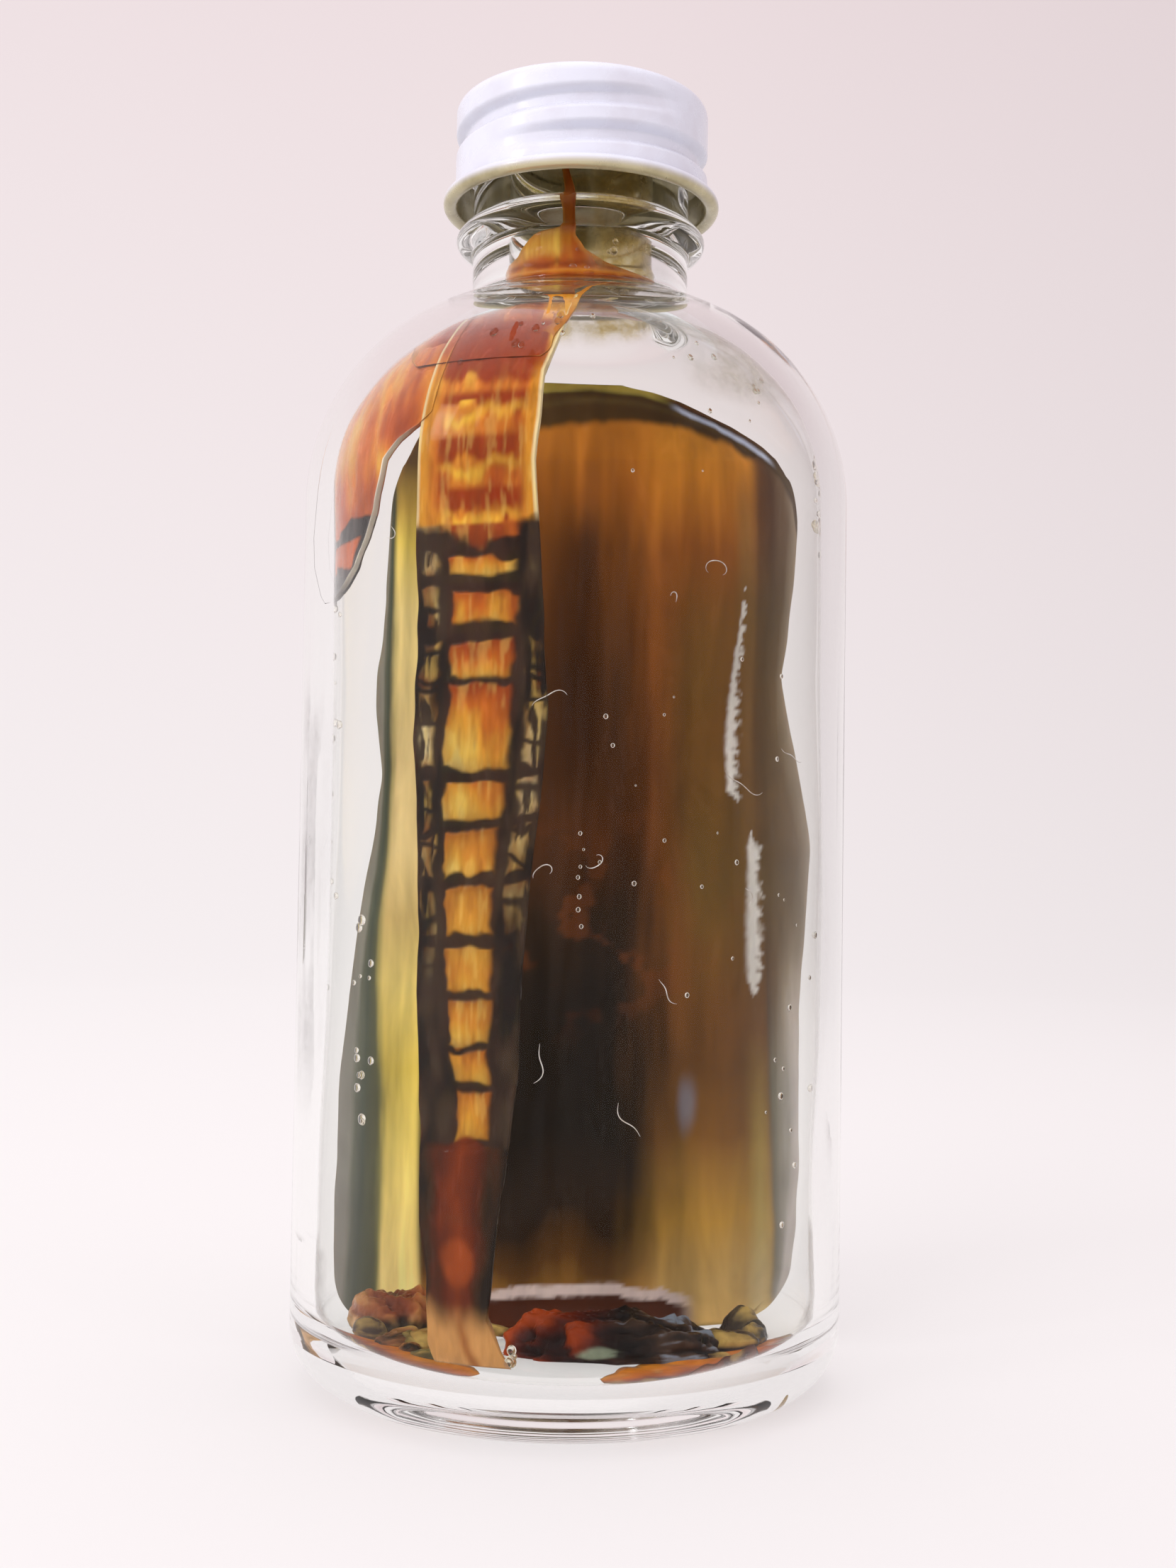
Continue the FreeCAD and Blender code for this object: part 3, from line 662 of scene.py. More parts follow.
def trunk_paint(s, angle, z):
    rgb, streak, blotch = body_paint(angle, z)
    jag = 0.55 * streak + 0.25 * blotch
    rgb = over(rgb, tone("cf7f26"), smoothstep(84, 82, z) * (0.6 + 0.5 * streak))
    for centre, half, left, right in ((86.0, 2.5, 0.06, 0.97), (81.9, 0.45, 0.14, 0.90), (78.0, 0.9, 0.16, 0.86),
                                      (74.0, 0.8, 0.20, 0.86)):
        saddle = smoothstep(half + 0.5, half - 0.3, np.abs(z - centre - jag * 1.3 * (z < centre)))
        saddle = saddle * smoothstep(left - 0.05, left + 0.09, s + 0.06 * streak) * smoothstep(right + 0.05, right - 0.09, s + 0.06 * streak)
        rgb = over(rgb, tone("8f3009"), saddle * 0.95)
        glow = bump_at(z + 0.8 * streak, centre - half - 0.9, 0.85) * smoothstep(0.14, 0.28, s) * smoothstep(0.94, 0.82, s)
        rgb = over(rgb, tone("e6ae38"), glow * (0.5 + 0.5 * smoothstep(-0.45, 0.35, streak)) * (z < 82))
    edge_gold = np.maximum(smoothstep(0.17, 0.05, s), smoothstep(0.86, 0.95, s)) * smoothstep(86, 82, z)
    rgb = over(rgb, tone("d6962e"), edge_gold * 0.75)
    # Painted highlight: thin pale lines along both edges of the body above the net, where the wet edges catch the
    # light.
    rgb = over(rgb, tone("e9d6a4"), smoothstep(0.962, 0.985, s) * smoothstep(NET_TOP - 1, NET_TOP + 1, z) * 0.9)
    rgb = over(rgb, tone("e2cfa0"), smoothstep(0.03, 0.012, s) * smoothstep(NET_TOP - 1, NET_TOP + 1, z) * 0.8)
    # inside the net: orange tops and yellow feet of each cell, tan cells at the sides
    share = cell_share(z)
    cell = blend_tones(share + 0.30 * streak + 0.22 * blotch,
                       [(0.0, "d9b04c"), (0.35, "d4912e"), (0.65, "c0631c"), (1.0, "9c4316")])
    low_cells = smoothstep(60, 46, z)
    cell = over(cell, tone("d29a36"), low_cells * (0.55 + 0.3 * blotch))
    cell = over(cell, tone("c9b870"), smoothstep(0.25, 0.75, -streak + 0.2 * blotch) * smoothstep(0.5, 0.1, share) * 0.65)
    side = np.maximum(smoothstep(cell_left(z), cell_left(z) - 0.04, s), smoothstep(cell_right(z), cell_right(z) + 0.05, s))
    tan = blend_tones(0.5 + 0.7 * streak, [(0.0, "4a3418"), (0.4, "8c6c3a"), (0.8, "b49a62"), (1.1, "c8b484")])
    cell = cell * (1 - side[..., None]) + tan * side[..., None]
    inside = smoothstep(NET_TOP + 0.2, NET_TOP - 0.2, z)
    rgb = over(rgb, cell, inside)
    net = net_weight(s, angle, z)
    # Painted shade: inside the net each cell darkens towards the sunken bars and long lines around it.
    near_bar = np.max([np.exp(-((z - centre - rise * (s - 0.5)) / (half + 0.55)) ** 2) for centre, rise, half in BARS], 0)
    near_line = np.maximum(np.exp(-((s - cell_left(z)) / 0.075) ** 2), np.exp(-((s - cell_right(z) - 0.02) / 0.085) ** 2))
    rgb = over(rgb, tone("6a2c10"), np.maximum(near_bar, near_line) * inside * 0.55)
    fibre = cloudy(np.stack([angle * 0.386, angle * 0, z], -1) * np.array([1, 1, 0.16]), 0.42, 53, 3)
    rgb = over(rgb, tone("7a3a12"), smoothstep(0.15, 0.75, fibre) * 0.28 * smoothstep(88, 84, z))
    rgb = over(rgb, tone("ecc868"), smoothstep(0.25, 0.8, -fibre) * 0.25 * smoothstep(86, 80, z))
    rgb = over(rgb, blend_tones(0.5 + streak, [(0, "17100c"), (1, "33221a")]), net * 0.96)
    # below the net: clear red-brown, with an orange oval and a pale foot
    foot = blend_tones(np.abs(s - 0.5) * 2 + 0.25 * streak, [(0.0, "7a3212"), (0.45, "5a2410"), (0.8, "35200f"), (1.0, "20160e")])
    foot = over(foot, tone("a0481a"), smoothstep(1.0, 0.55, np.hypot((s - 0.5) / 0.30, (z - 14.2) / 2.4)) * 0.75)
    foot = over(foot, tone("6e3418"), bump_at(z, 17.6, 0.7) * bump_at(s, 0.5, 0.3) * 0.5)
    foot = over(foot, tone("d39a5c"), smoothstep(11.6, 8.8, z + 0.5 * streak) * 0.85)
    foot = over(foot, tone("8c4a1c"), smoothstep(11.0, 8.5, z) * bump_at(s, 0.55, 0.12) * 0.7)
    rgb = over(rgb, foot, smoothstep(NET_FOOT + 0.1, NET_FOOT - 0.4, z - 0.8 * bump_at(s, 0.55, 0.25)))
    return rgb


def specimen_trunk():
    """Long banded strip: swollen middle, each cell of the net bulging between its sunken dark bars."""
    def thick(s, z):
        return np.interp(z, (6, 9, 24, 60, 84, 91), (0.9, 1.5, 2.0, 2.8, 2.6, 1.6))

    def relief(s, angle, z):
        where = np.stack([angle * 0.386, angle * 0, z], -1)
        return 0.16 * net_weight(s, angle, z) + 0.06 * (1 + cloudy(where * np.array([1, 1, 0.4]), 1.0, 51, 3))

    obj, (s, angle, z) = wall_skin("specimen_long_body", trunk_left, trunk_right, TRUNK_LOW, TRUNK_HIGH,
                                   560, 76, thick, 0.06, 0.10, relief)
    paint(obj, trunk_paint(s, angle, z))
    obj.data.materials.append(wet_skin("banded_skin", 0.20, 1100))
    return place(obj, "specimen_skin", "jar", "specimen_trunk")


def tail_left(z):
    points = ((66.8, -63.0), (67.6, -65.6), (70.4, -70.8), (73, -71.8), (76.5, -69.6), (80, -66.4), (84, -62.5),
              (87, -62.0), (90, -62), (93, -64))
    return np.interp(z, *zip(*points)) + 0.25 * value_noise(np.stack([z * 0, z * 0 + 4, z], -1), 2.5, 6)


def tail_right(z):
    points = ((66.8, -61.5), (67.6, -57.4), (69.6, -51.6), (71.8, -48.2), (75, -44.6), (78, -42.6), (79.4, -39.0),
              (80.3, -34.0), (81.2, -31.0), (86, -30.0), (93, -28.0))
    return np.interp(z, *zip(*points)) + 0.5 * value_noise(np.stack([z * 0, z * 0 + 7, z], -1), 1.6, 8) * smoothstep(80, 79, z)


def tail_paint(s, angle, z):
    rgb, streak, blotch = body_paint(angle, z)
    rgb = over(rgb, tone("dd8c1c"), smoothstep(0.30, 0.08, s) * smoothstep(87, 82, z) * 0.7)
    rgb = over(rgb, tone("c4500e"), bump_at(s, 0.55 + 0.1 * blotch, 0.35) * smoothstep(84, 78, z) * 0.45)
    tip = 73.6 - 1.7 * bump_at(s, 0.38, 0.36) + 0.25 * streak
    band = smoothstep(tip + 0.25, tip - 0.15, z)
    rgb = over(rgb, tone("1d1512"), band)
    patch = smoothstep(69.4, 69.8, z + 0.3 * streak) * smoothstep(71.7, 71.3, z - 1.1 * (s - 0.5)) * smoothstep(0.05, 0.13, s) \
        * smoothstep(0.93, 0.86, s)
    rgb = over(rgb, tone("c25a1c"), patch)
    rgb = over(rgb, tone("2c2a1c"), smoothstep(0.035, 0.015, s) * smoothstep(80, 76, z))
    # Painted highlight: a thin pale line along the lobe's right edge, between heights 67 and 80.
    rgb = over(rgb, tone("f2ead8"), smoothstep(0.975, 0.985, s) * smoothstep(80.5, 79, z) * smoothstep(67, 69, z) * 0.9)
    return rgb


def specimen_tail():
    """Shorter lobe that leaves the body at the shoulder, hangs down beside it and ends in a point."""
    def thick(s, z):
        return np.interp(z, (66.8, 69, 74, 82, 93), (0.4, 0.6, 0.8, 0.9, 0.9))

    def relief(s, angle, z):
        where = np.stack([angle * 0.386, angle * 0, z], -1)
        return 0.10 + 0.08 * (1 + cloudy(where * np.array([1, 1, 0.5]), 1.4, 57, 3))

    obj, (s, angle, z) = wall_skin("specimen_side_lobe", tail_left, tail_right, 66.9, 92.6, 220, 96, thick, 0.0, 0.12, relief)
    paint(obj, tail_paint(s, angle, z))
    obj.data.materials.append(wet_skin("lobe_skin", 0.20, 1000))
    return place(obj, "specimen_skin", "jar", "specimen_tail")


def tissue_left(z):
    points = ((84, -36), (88, -47), (91, -54), (93.4, -64), (95.2, -72), (97, -62), (98.4, -44), (99.8, -37),
              (100.6, -29), (101.2, -14), (104, -11), (106.6, -14))
    wobble = 2.4 * value_noise(np.stack([z * 0, z * 0 + 3, z], -1), 1.3, 12)
    return np.interp(z, *zip(*points)) + wobble * smoothstep(101.5, 99.5, z)


def tissue_right(z):
    points = ((84, -10), (87, -4.5), (90, 0), (92, 5), (93.6, 24), (94.8, 62), (95.8, 50), (97, 26), (98.6, 2), (99.8, -3),
              (102, -3), (104, -4), (106.6, -11))
    wobble = 2.0 * value_noise(np.stack([z * 0, z * 0 + 5, z], -1), 1.3, 14)
    return np.interp(z, *zip(*points)) + wobble * smoothstep(101.5, 99.5, z)


def tissue_paint(s, angle, z):
    rgb, streak, blotch = body_paint(angle, z)
    rgb = over(rgb, tone("8f3009"), smoothstep(90.5, 88.0, z) * smoothstep(-50, -34, angle + 6 * streak) * 0.95)
    rgb = over(rgb, tone("a5500f"), smoothstep(90, 92, z) * smoothstep(-66, -46, angle) * 0.6)
    rgb = over(rgb, tone("d08a30"), smoothstep(-40, -56, angle + 6 * streak) * 0.5)
    rgb = over(rgb, tone("d6a845"), smoothstep(97.6, 98.8, z) * smoothstep(-8, -16, angle) * (0.8 + 0.4 * streak))
    dark = bump_at(z, 94.6 + 0.5 * blotch, 1.0) * smoothstep(-60, -20, angle) + bump_at(z, 97.2 + 0.3 * streak, 0.8) * 0.7
    rgb = over(rgb, tone("6a2206"), dark * 0.8)
    rgb = over(rgb, tone("d08a26"), bump_at(z, 96.0, 0.7) * 0.6)
    rgb = over(rgb, tone("c98a3a"), np.maximum(smoothstep(0.16, 0.03, s), smoothstep(0.88, 0.98, s)) * 0.6)
    rgb = over(rgb, tone("7c3a10"), smoothstep(99, 101, z) * 0.5)
    return rgb


def neck_tissue():
    """Dried tissue from the shoulder into the neck, with ragged sides and a wedge to the right."""
    def thick(s, z):
        return np.interp(z, (84, 86, 88.5, 93, 98, 107), (0.1, 0.3, 1.5, 1.3, 0.9, 0.25))

    def relief(s, angle, z):
        where = np.stack([angle * 0.2, angle * 0, z], -1)
        return 0.05 + 0.07 * (1 + cloudy(where, 1.8, 61, 3)) + 0.9 * smoothstep(87.6, 85.8, z)

    obj, (s, angle, z) = wall_skin("specimen_neck_tissue", tissue_left, tissue_right, 85.2, 106.6, 200, 110, thick, 0.0, 0.10, relief)
    paint(obj, tissue_paint(s, angle, z))
    obj.data.materials.append(wet_skin("neck_skin", 0.18, 900))
    return place(obj, "specimen_skin", "jar", "neck_tissue")


# ---- set medium ------------------------------------------------------------------------------------
MEDIUM_LOW, MEDIUM_HIGH = 2.9, 92.35
CONTENT_Z = FLOOR_Z / MM + 0.1             # where what lies on the floor begins, in millimetres


def medium_right(z):
    """Angle of the medium's right edge, in degrees from the front."""
    points = ((3, 113), (8, 103), (17, 101), (26, 101), (32, 102), (39, 99), (46.7, 93.6), (54, 103),
              (62.8, 112), (70, 107), (77, 104), (80.6, 105.4), (83.4, 109), (85.5, 115.7), (87.8, 123),
              (90.8, 139), (91.8, 150), (92.4, 165))
    return np.interp(z, *zip(*points)) + 0.7 * value_noise(np.stack([0 * z, 0 * z, z], -1), 3.0, 71)


def medium_left(z):
    points = ((3, -99), (12, -98), (19.7, -98), (26, -99), (32.6, -105), (46, -118), (53, -121.5),
              (59.7, -118.5), (70, -121), (80.4, -121.5), (87, -126), (91, -137), (91.6, -146), (92.4, -165))
    return np.interp(z, *zip(*points)) + 0.8 * value_noise(np.stack([0 * z, 0 * z + 5, z], -1), 3.0, 73)


def arch_top(x):
    """Height of the medium's upper outline above a place across the jar."""
    return np.interp(x, (-21, -17, -10.8, -8, -4, 1, 5.7, 9.8, 15.3, 17.9, 19.7, 21, 21.6),
                     (78, 87, 91, 91.6, 92.2, 92.7, 92.2, 90.8, 87.8, 85.5, 83.4, 80.6, 76))


def right_limit(z):
    """How far right the medium's face reaches at a height."""
    return np.interp(z, (3, 8, 17, 32, 46.7, 62.8, 70, 77, 81, 84), (19.5, 20.7, 20.9, 21, 22.1, 20.5, 21.2, 21.5, 21, 19.3))


def medium_paint(x, z):
    """Dark amber mass: near black low in the middle, amber under the arch, olive and yellow-green sides."""
    where = np.stack([x, 0 * x, z], -1)
    flow = cloudy(where * np.array([1, 1, 0.09]), 1.5, 71, 4)
    cloud = cloudy(where * np.array([1, 1, 0.45]), 8.0, 75, 3)
    level = z + 1.8 * cloud + 0.9 * flow
    middle = blend_tones(level, [(6, "9a6c32"), (8.5, "5c3d1e"), (12, "2b1e15"), (20, "1a1410"), (33, "1d1612"),
                                 (40, "2c1e14"), (47, "462917"), (62, "4a2d18"), (69, "593519"), (75, "6a3f1b"),
                                 (81, "8b521f"), (87, "9e6224")])
    right = blend_tones(level, [(6, "a98c5c"), (12, "a07c3c"), (20, "6a4823"), (27, "58391d"), (40, "693f1d"),
                                (50, "623919"), (62, "71411a"), (75, "7a461b"), (82, "a06722"), (88, "9f6a26")])
    turn = smoothstep(4.5, 11.5, x + 0.7 * flow + 1.5 * cloud)
    rgb = middle * (1 - turn[..., None]) + right * turn[..., None]
    # Painted shadow: a dark patch over the middle of the face between heights 50 and 82.
    rgb = over(rgb, tone("3c2213"), bump_at(x + flow, 0.4, 4.0) * smoothstep(82, 74, z) * smoothstep(50, 57, z) * 0.75)
    rgb = over(rgb, tone("6c3a1e"), smoothstep(0.25, 0.6, cloudy(where, 2.6, 83, 3)) * bump_at(z, 40, 13) * 0.45)
    lift = 1.0 + 0.55 * smoothstep(2.0, 9.0, x) + 0.30 * smoothstep(58, 74, z)
    rgb = rgb * (lift * (1 + 0.15 * flow))[..., None] * np.array([1.0, 0.97, 0.80])
    rgb = rgb * (1 + np.array([-0.10, 0.10, -0.1]) * (smoothstep(9, 13, x) * bump_at(z, 48, 30))[..., None])
    strip = blend_tones(z, [(6, "dcc48c"), (13, "c9ae60"), (20, "a88c44"), (30, "7a532a"), (45, "76502a"),
                            (60, "94693a"), (76, "9a6c34"), (84, "9b6624")])
    rgb = over(rgb, strip, bump_at(x + 0.25 * flow, np.interp(z, (12, 32, 50), (18.4, 17.6, 16.5)), 1.7) * smoothstep(86, 78, z) * 0.9)
    reach = np.clip((x - 17.2) / (right_limit(z) - 17.2), 0, 1.2) + 0.10 * flow
    upper_band = blend_tones(reach, [(0, "6c4625"), (0.35, "583a21"), (0.7, "72573a"), (0.95, "a39177"), (1.1, "cbbdab")])
    lower_band = blend_tones(reach, [(0, "6b5f3c"), (0.35, "585240"), (0.7, "827b66"), (0.95, "a69f91"), (1.1, "cfc7bf")])
    low = smoothstep(38, 26, z + 3 * cloud)[..., None]
    band_start = np.interp(z, (12, 32, 50), (19.6, 18.6, 17.2))
    rgb = over(rgb, upper_band * (1 - low) + lower_band * low, smoothstep(-0.4, 0.4, x - band_start + 0.2 * flow))
    glow = blend_tones(z + 2 * cloud, [(6, "d6bf78"), (20, "c9b35c"), (26, "b7a046"), (34, "c8b164"), (40, "b0975c"),
                                       (46, "cbb278"), (54, "cdb47a"), (68, "cfb976"), (75, "c3ab4e"), (79, "a5873a"),
                                       (84, "5a4222")])
    rgb = over(rgb, glow * (1.4 + 0.3 * flow)[..., None], smoothstep(-13.2, -13.9, x))
    left_band = np.interp(z, (3, 12, 24, 34, 44, 60, 84), (3.6, 3.9, 3.4, 1.9, 1.2, 1.0, 0.9))
    from_left = x + np.interp(z, (3, 12, 24, 34, 44, 60, 80), (21.2, 21.4, 20.9, 20.1, 19.0, 18.6, 18.9))
    shade = blend_tones(from_left / left_band + 0.12 * flow, [(0, "8f8c7c"), (0.2, "62644f"), (0.5, "4a503e"),
                                                              (0.8, "58583a"), (1.0, "8a8348")])
    rgb = over(rgb, shade, smoothstep(left_band + 0.5, left_band - 0.4, from_left + 0.3 * flow))
    drop = arch_top(x) - z
    rim = np.interp(x, (-8, 2, 8, 14, 20), (4.6, 4.2, 3.2, 2.2, 1.6)) + 0.3 * flow
    rgb = over(rgb, tone("4c361b"), smoothstep(rim + 0.7, rim - 0.5, drop) * (x > -12))
    rgb = over(rgb, tone("63502a"), bump_at(drop, rim * 0.45, 0.7) * 0.5 * (x > -12))
    rgb = over(rgb, tone("c0b052"), smoothstep(1.0, 0.4, drop) * smoothstep(10, 6, x))
    olive = smoothstep(7, 12, x) * smoothstep(30, 44, z) * smoothstep(78, 66, z)
    rgb = over(rgb, tone("6e5a2a"), olive * (0.45 + 0.2 * cloud))
    # Painted highlight: a pale blue-white line along the right part of the arch, just under its top edge.
    rgb = over(rgb, tone("cfd8ee"), bump_at(drop + 0.12 * flow, 0.75, 0.55) * smoothstep(8.5, 10.5, x) * smoothstep(19.5, 18, x))
    rgb = over(rgb, tone("8791a2"), smoothstep(1.3, 0.2, np.hypot((x - 11.3) / 0.9, (z - 23.4) / 2.6) + 0.3 * flow) * 0.5)
    middle_x = np.interp(z, (34, 49, 52, 57, 63, 68, 78), (17.3, 16.9, 15.2, 15.0, 15.3, 16.0, 16.8))
    half = np.interp(z, (33, 35, 40, 47, 48.5, 51, 51.8, 57, 66, 72), (0.0, 0.75, 0.9, 0.5, 0.0, 0.0, 0.5, 0.6, 0.36, 0.0))
    ragged = cloudy(where * np.array([1, 1, 1.6]), 0.7, 91, 3)
    glint = bump_at(x, -15.9 + 0.3 * cloud, 0.5) * (bump_at(z, 62, 4) + bump_at(z, 55.5, 2.2) + 0.7 * bump_at(z, 48, 3))
    rgb = over(rgb, tone("f4efdc"), glint * smoothstep(-0.1, 0.4, flow))
    gleam = smoothstep(1.3 * half, half * 0.35, np.abs(x - middle_x + 0.25 * ragged) + 0.15 * ragged) * (half > 0.02)
    rgb = over(rgb, tone("f1ede4"), gleam * 0.9)
    # Painted highlight: the thin pale arc low on the face stands in for the bright inner edge of the glass base.
    arch = 6.7 - 0.011 * (x - 1) ** 2 + 0.25 * flow
    across = smoothstep(11.5, 9.5, np.abs(x - 1.0))
    rgb = over(rgb, tone("dcc7be"), smoothstep(arch + 0.15, arch - 0.15, z) * across)
    rgb = over(rgb, tone("4a2414"), smoothstep(arch - 0.75, arch - 1.05, z + 0.3 * cloud) * across)
    return rgb


def set_medium():
    """Set medium: at each height a closed section made of the arc along the back wall and a free face,
    a chord that sags behind its two edges by 1 - exp(-distance) and carries slow waves."""
    z = np.concatenate([np.linspace(MEDIUM_LOW, 84, 250), np.linspace(84, MEDIUM_HIGH, 60)[1:]])[:, None]
    wall_r = inner_radius(z * MM) / MM - 0.05
    left, right = softened(np.radians(medium_left(z)), 4), softened(np.radians(medium_right(z)), 4)
    u = (0.5 - 0.5 * np.cos(math.pi * np.linspace(0, 1, 240)))[None, :]
    low_end = polar(wall_r, FRONT + left, z)
    high_end = polar(wall_r, FRONT + right, z)
    face = low_end * (1 - u[..., None]) + high_end * u[..., None]
    chord = np.linalg.norm(high_end - low_end, axis=-1)
    edge = np.minimum(u, 1 - u) * chord
    calm_low = polar(wall_r, FRONT + softened(left, 45), z)
    calm_high = polar(wall_r, FRONT + softened(right, 45), z)
    calm = calm_low * (1 - u[..., None]) + calm_high * u[..., None]
    inland = (smoothstep(0.0, 6.0, edge) * smoothstep(90, 80, z))[..., None]
    face = face * (1 - inland) + calm * inland
    room = np.sqrt(np.clip(wall_r ** 2 - face[..., 0] ** 2, 0, None)) - face[..., 1]
    flow = cloudy(face * np.array([1, 0, 0.12]), 2.4, 61, 3)
    sag = 0.9 * (1 - np.exp(-edge / 1.1)) + (0.16 * flow + 0.35 * value_noise(face * np.array([1, 0, 0.6]), 11, 67)) \
        * smoothstep(0, 2, edge)
    gleam_ridge = bump_at(face[..., 0], 16.2, 1.2) * smoothstep(30, 36, z) * smoothstep(80, 74, z)
    sag = sag - 0.35 * gleam_ridge
    foot = 1.5 * (1 - np.sqrt(np.clip(1 - np.clip(1 - (z - MEDIUM_LOW) / 2.2, 0, 1) ** 2, 0, 1)))
    face[..., 1] += np.minimum(sag, room * 0.6) - foot * (room > 2)
    turn = np.linspace(0, 1, 60)[1:-1][None, :]
    back_angle = FRONT + right + (2 * math.pi + left - right) * turn
    back = polar(wall_r + 0 * turn, back_angle, z + 0 * turn)
    grid = np.concatenate([face, back], 1)
    obj = closed_tube("set_medium_mass", grid * MM)
    paint(obj, medium_paint(grid[..., 0], grid[..., 2]))
    obj.data.materials.append(wet_skin("dark_amber_medium", 0.20, 260, 0.03, 0.06, 0.02))
    return place(obj, "amber_medium", "jar", "set_medium")


# ---- what lies on the floor --------------------------------------------------------------------------
def resin_arc(name, start, end, height, width, seed):
    """Resin in the heel between two angles: the section follows the heel up to a height and comes back
    down a hollow curve; height and width swell and fade along the arc as a root of a sine."""
    t = np.linspace(0, 1, 120)[:, None]
    angle = start + (end - start) * t
    swell = np.sqrt(np.clip(np.sin(math.pi * t), 0.02, 1))
    along = np.stack([angle * 0.3, 0 * angle, 0 * angle], -1)
    tall = height * swell * (1 + 0.28 * cloudy(along, 2.4, seed, 3))
    wide = width * swell * (1 + 0.30 * cloudy(along, 3.0, seed + 5, 3))
    v = np.linspace(0, 1, 14)[None, :]
    z_wall = CONTENT_Z + tall * v
    wall = polar(inner_radius(z_wall * MM) / MM - 0.05, FRONT + np.radians(angle), z_wall)
    w = v[:, ::-1]
    z_free = CONTENT_Z + tall * w
    r_free = inner_radius(z_free * MM) / MM - 0.05 - wide * (1 - w) ** 2.2
    free = polar(r_free, FRONT + np.radians(angle), z_free)
    grid = np.concatenate([wall, free[:, 1:]], 1)
    obj = closed_tube(name, grid * MM)
    where = grid
    cloud = cloudy(where, 2.2, seed + 9, 3)
    share = np.concatenate([v + 0 * tall, (w + 0 * tall)[:, 1:]], 1)
    rgb = blend_tones(share + 0.25 * cloud, [(0, "e08c1e"), (0.35, "d0701a"), (0.6, "98400f"), (0.85, "3e1c0c")])
    rgb = over(rgb, tone("f0c070"), smoothstep(0.3, 0.8, cloud) * 0.35)
    paint(obj, rgb)
    return obj


def join(pieces, name):
    """Makes one mesh object of several and gives it the name."""
    with bpy.context.temp_override(active_object=pieces[0], selected_editable_objects=pieces):
        bpy.ops.object.join()
    pieces[0].name = name
    pieces[0].data.name = name
    return pieces[0]


def heel_resin():
    arcs = [resin_arc("resin_left", -76, -22, 3.2, 4.6, 101), resin_arc("resin_right", 10, 80, 3.4, 4.6, 131)]
    obj = join(arcs, "heel_resin_arcs")
    obj.data.materials.append(wet_skin("orange_heel_resin", 0.14, 700))
    return place(obj, "orange_resin", "jar", "heel_resin")


def lump(name, x, y, half_length, half_width, height, turn, seed, colours, ridges=0.35):
    """A lump on the floor: a half ellipsoid on a grid of turns and rings, its radius broken up by cloudy
    noise and by long ridges, painted by height and noise."""
    rows, cols = 60, 120
    lift = np.linspace(0, 1, rows)[:, None]
    around = np.arange(cols)[None, :] / cols * 2 * math.pi
    share = np.cos(0.5 * math.pi * np.clip(lift - 0.12, 0, 1) / 0.88) ** 0.75
    up = np.sin(0.5 * math.pi * lift) ** 1.1
    a = half_length * share * np.cos(around)
    b = half_width * share * np.sin(around)
    base = np.stack([a, b + 0 * a, height * up + 0 * a], -1)
    rough = cloudy(base, 3.2, seed, 4)
    grain = cloudy(base * np.array([0.25, 1, 1]), 0.9, seed + 7, 3)
    swell = 1 + 0.16 * rough * (share > 0.05) + 0.05 * grain
    c, d = math.cos(math.radians(turn)), math.sin(math.radians(turn))
    px, py = a * swell, b * swell
    pz = CONTENT_Z + height * up * (1 + 0.28 * rough) + ridges * grain * up * np.minimum(1, 3 * share)
    grid = np.stack([x + px * c - py * d, y + px * d + py * c, pz], -1)
    obj = closed_tube(name, grid * MM)
    paint(obj, colours(grid[..., 0], grid[..., 1], grid[..., 2], rough, grain))
    return obj


def right_clump_paint(x, y, z, rough, grain):
    rgb = blend_tones(0.45 + 0.6 * rough + 0.3 * grain, [(0, "150d0b"), (0.4, "2c1512"), (0.7, "561d0e"), (1.0, "8c3414")])
    # Painted highlight: the dark wood-like grain turns blue-grey (7d8590) on its ridge crests, where they would catch
    # the light.
    grain_with_crest_highlights = blend_tones(0.5 + 1.1 * grain, [(0, "120d0b"), (0.5, "2a1f1a"), (0.85, "4c392b"), (1, "7d8590")])
    rgb = over(rgb, grain_with_crest_highlights, smoothstep(2.0, 5.5, x + 1.2 * rough))
    rgb = over(rgb, tone("8f9c84"), smoothstep(1.0, 0.55, np.hypot((x - 2.4) / 2.0, (z - 4.4) / 0.9) + 0.35 * grain) * 0.9)
    return over(rgb, tone("b04a1c"), smoothstep(0.35, 0.7, rough) * smoothstep(4, 0, x) * 0.45)


def left_clump_paint(x, y, z, rough, grain):
    rgb = blend_tones(0.5 + 0.7 * rough + 0.3 * grain, [(0, "4a2416"), (0.45, "7a3a20"), (0.8, "96582e"), (1.0, "b07c44")])
    low = smoothstep(6.2, 4.8, z + 0.5 * rough)
    mottled = blend_tones(0.5 + 0.9 * grain, [(0, "2c2114"), (0.4, "6a5434"), (0.7, "a07c46"), (1.0, "c69b6a")])
    return over(rgb, mottled, low)


def clumps():
    right = lump("clump_by_the_foot", 5.0, -7.4, 9.0, 4.3, 4.0, -6.0, 201, right_clump_paint, 0.45)
    right.data.materials.append(wet_skin("dark_red_clump", 0.22, 1500))
    place(right, "sediment", "jar", "sediment_clump_right")
    left = lump("clump_at_the_side", -15.2, -0.6, 4.2, 4.0, 4.4, 110.0, 231, left_clump_paint, 0.35)
    left.data.materials.append(wet_skin("mottled_clump", 0.25, 1500))
    place(left, "sediment", "jar", "sediment_clump_left")


def flake_paint(shade):
    def colours(x, y, z, rough, grain):
        rgb = blend_tones(0.5 + 0.6 * rough + 0.4 * grain, [(0, "2a1c10"), (0.5, shade), (1.0, "b89a54")])
        return rgb
    return colours


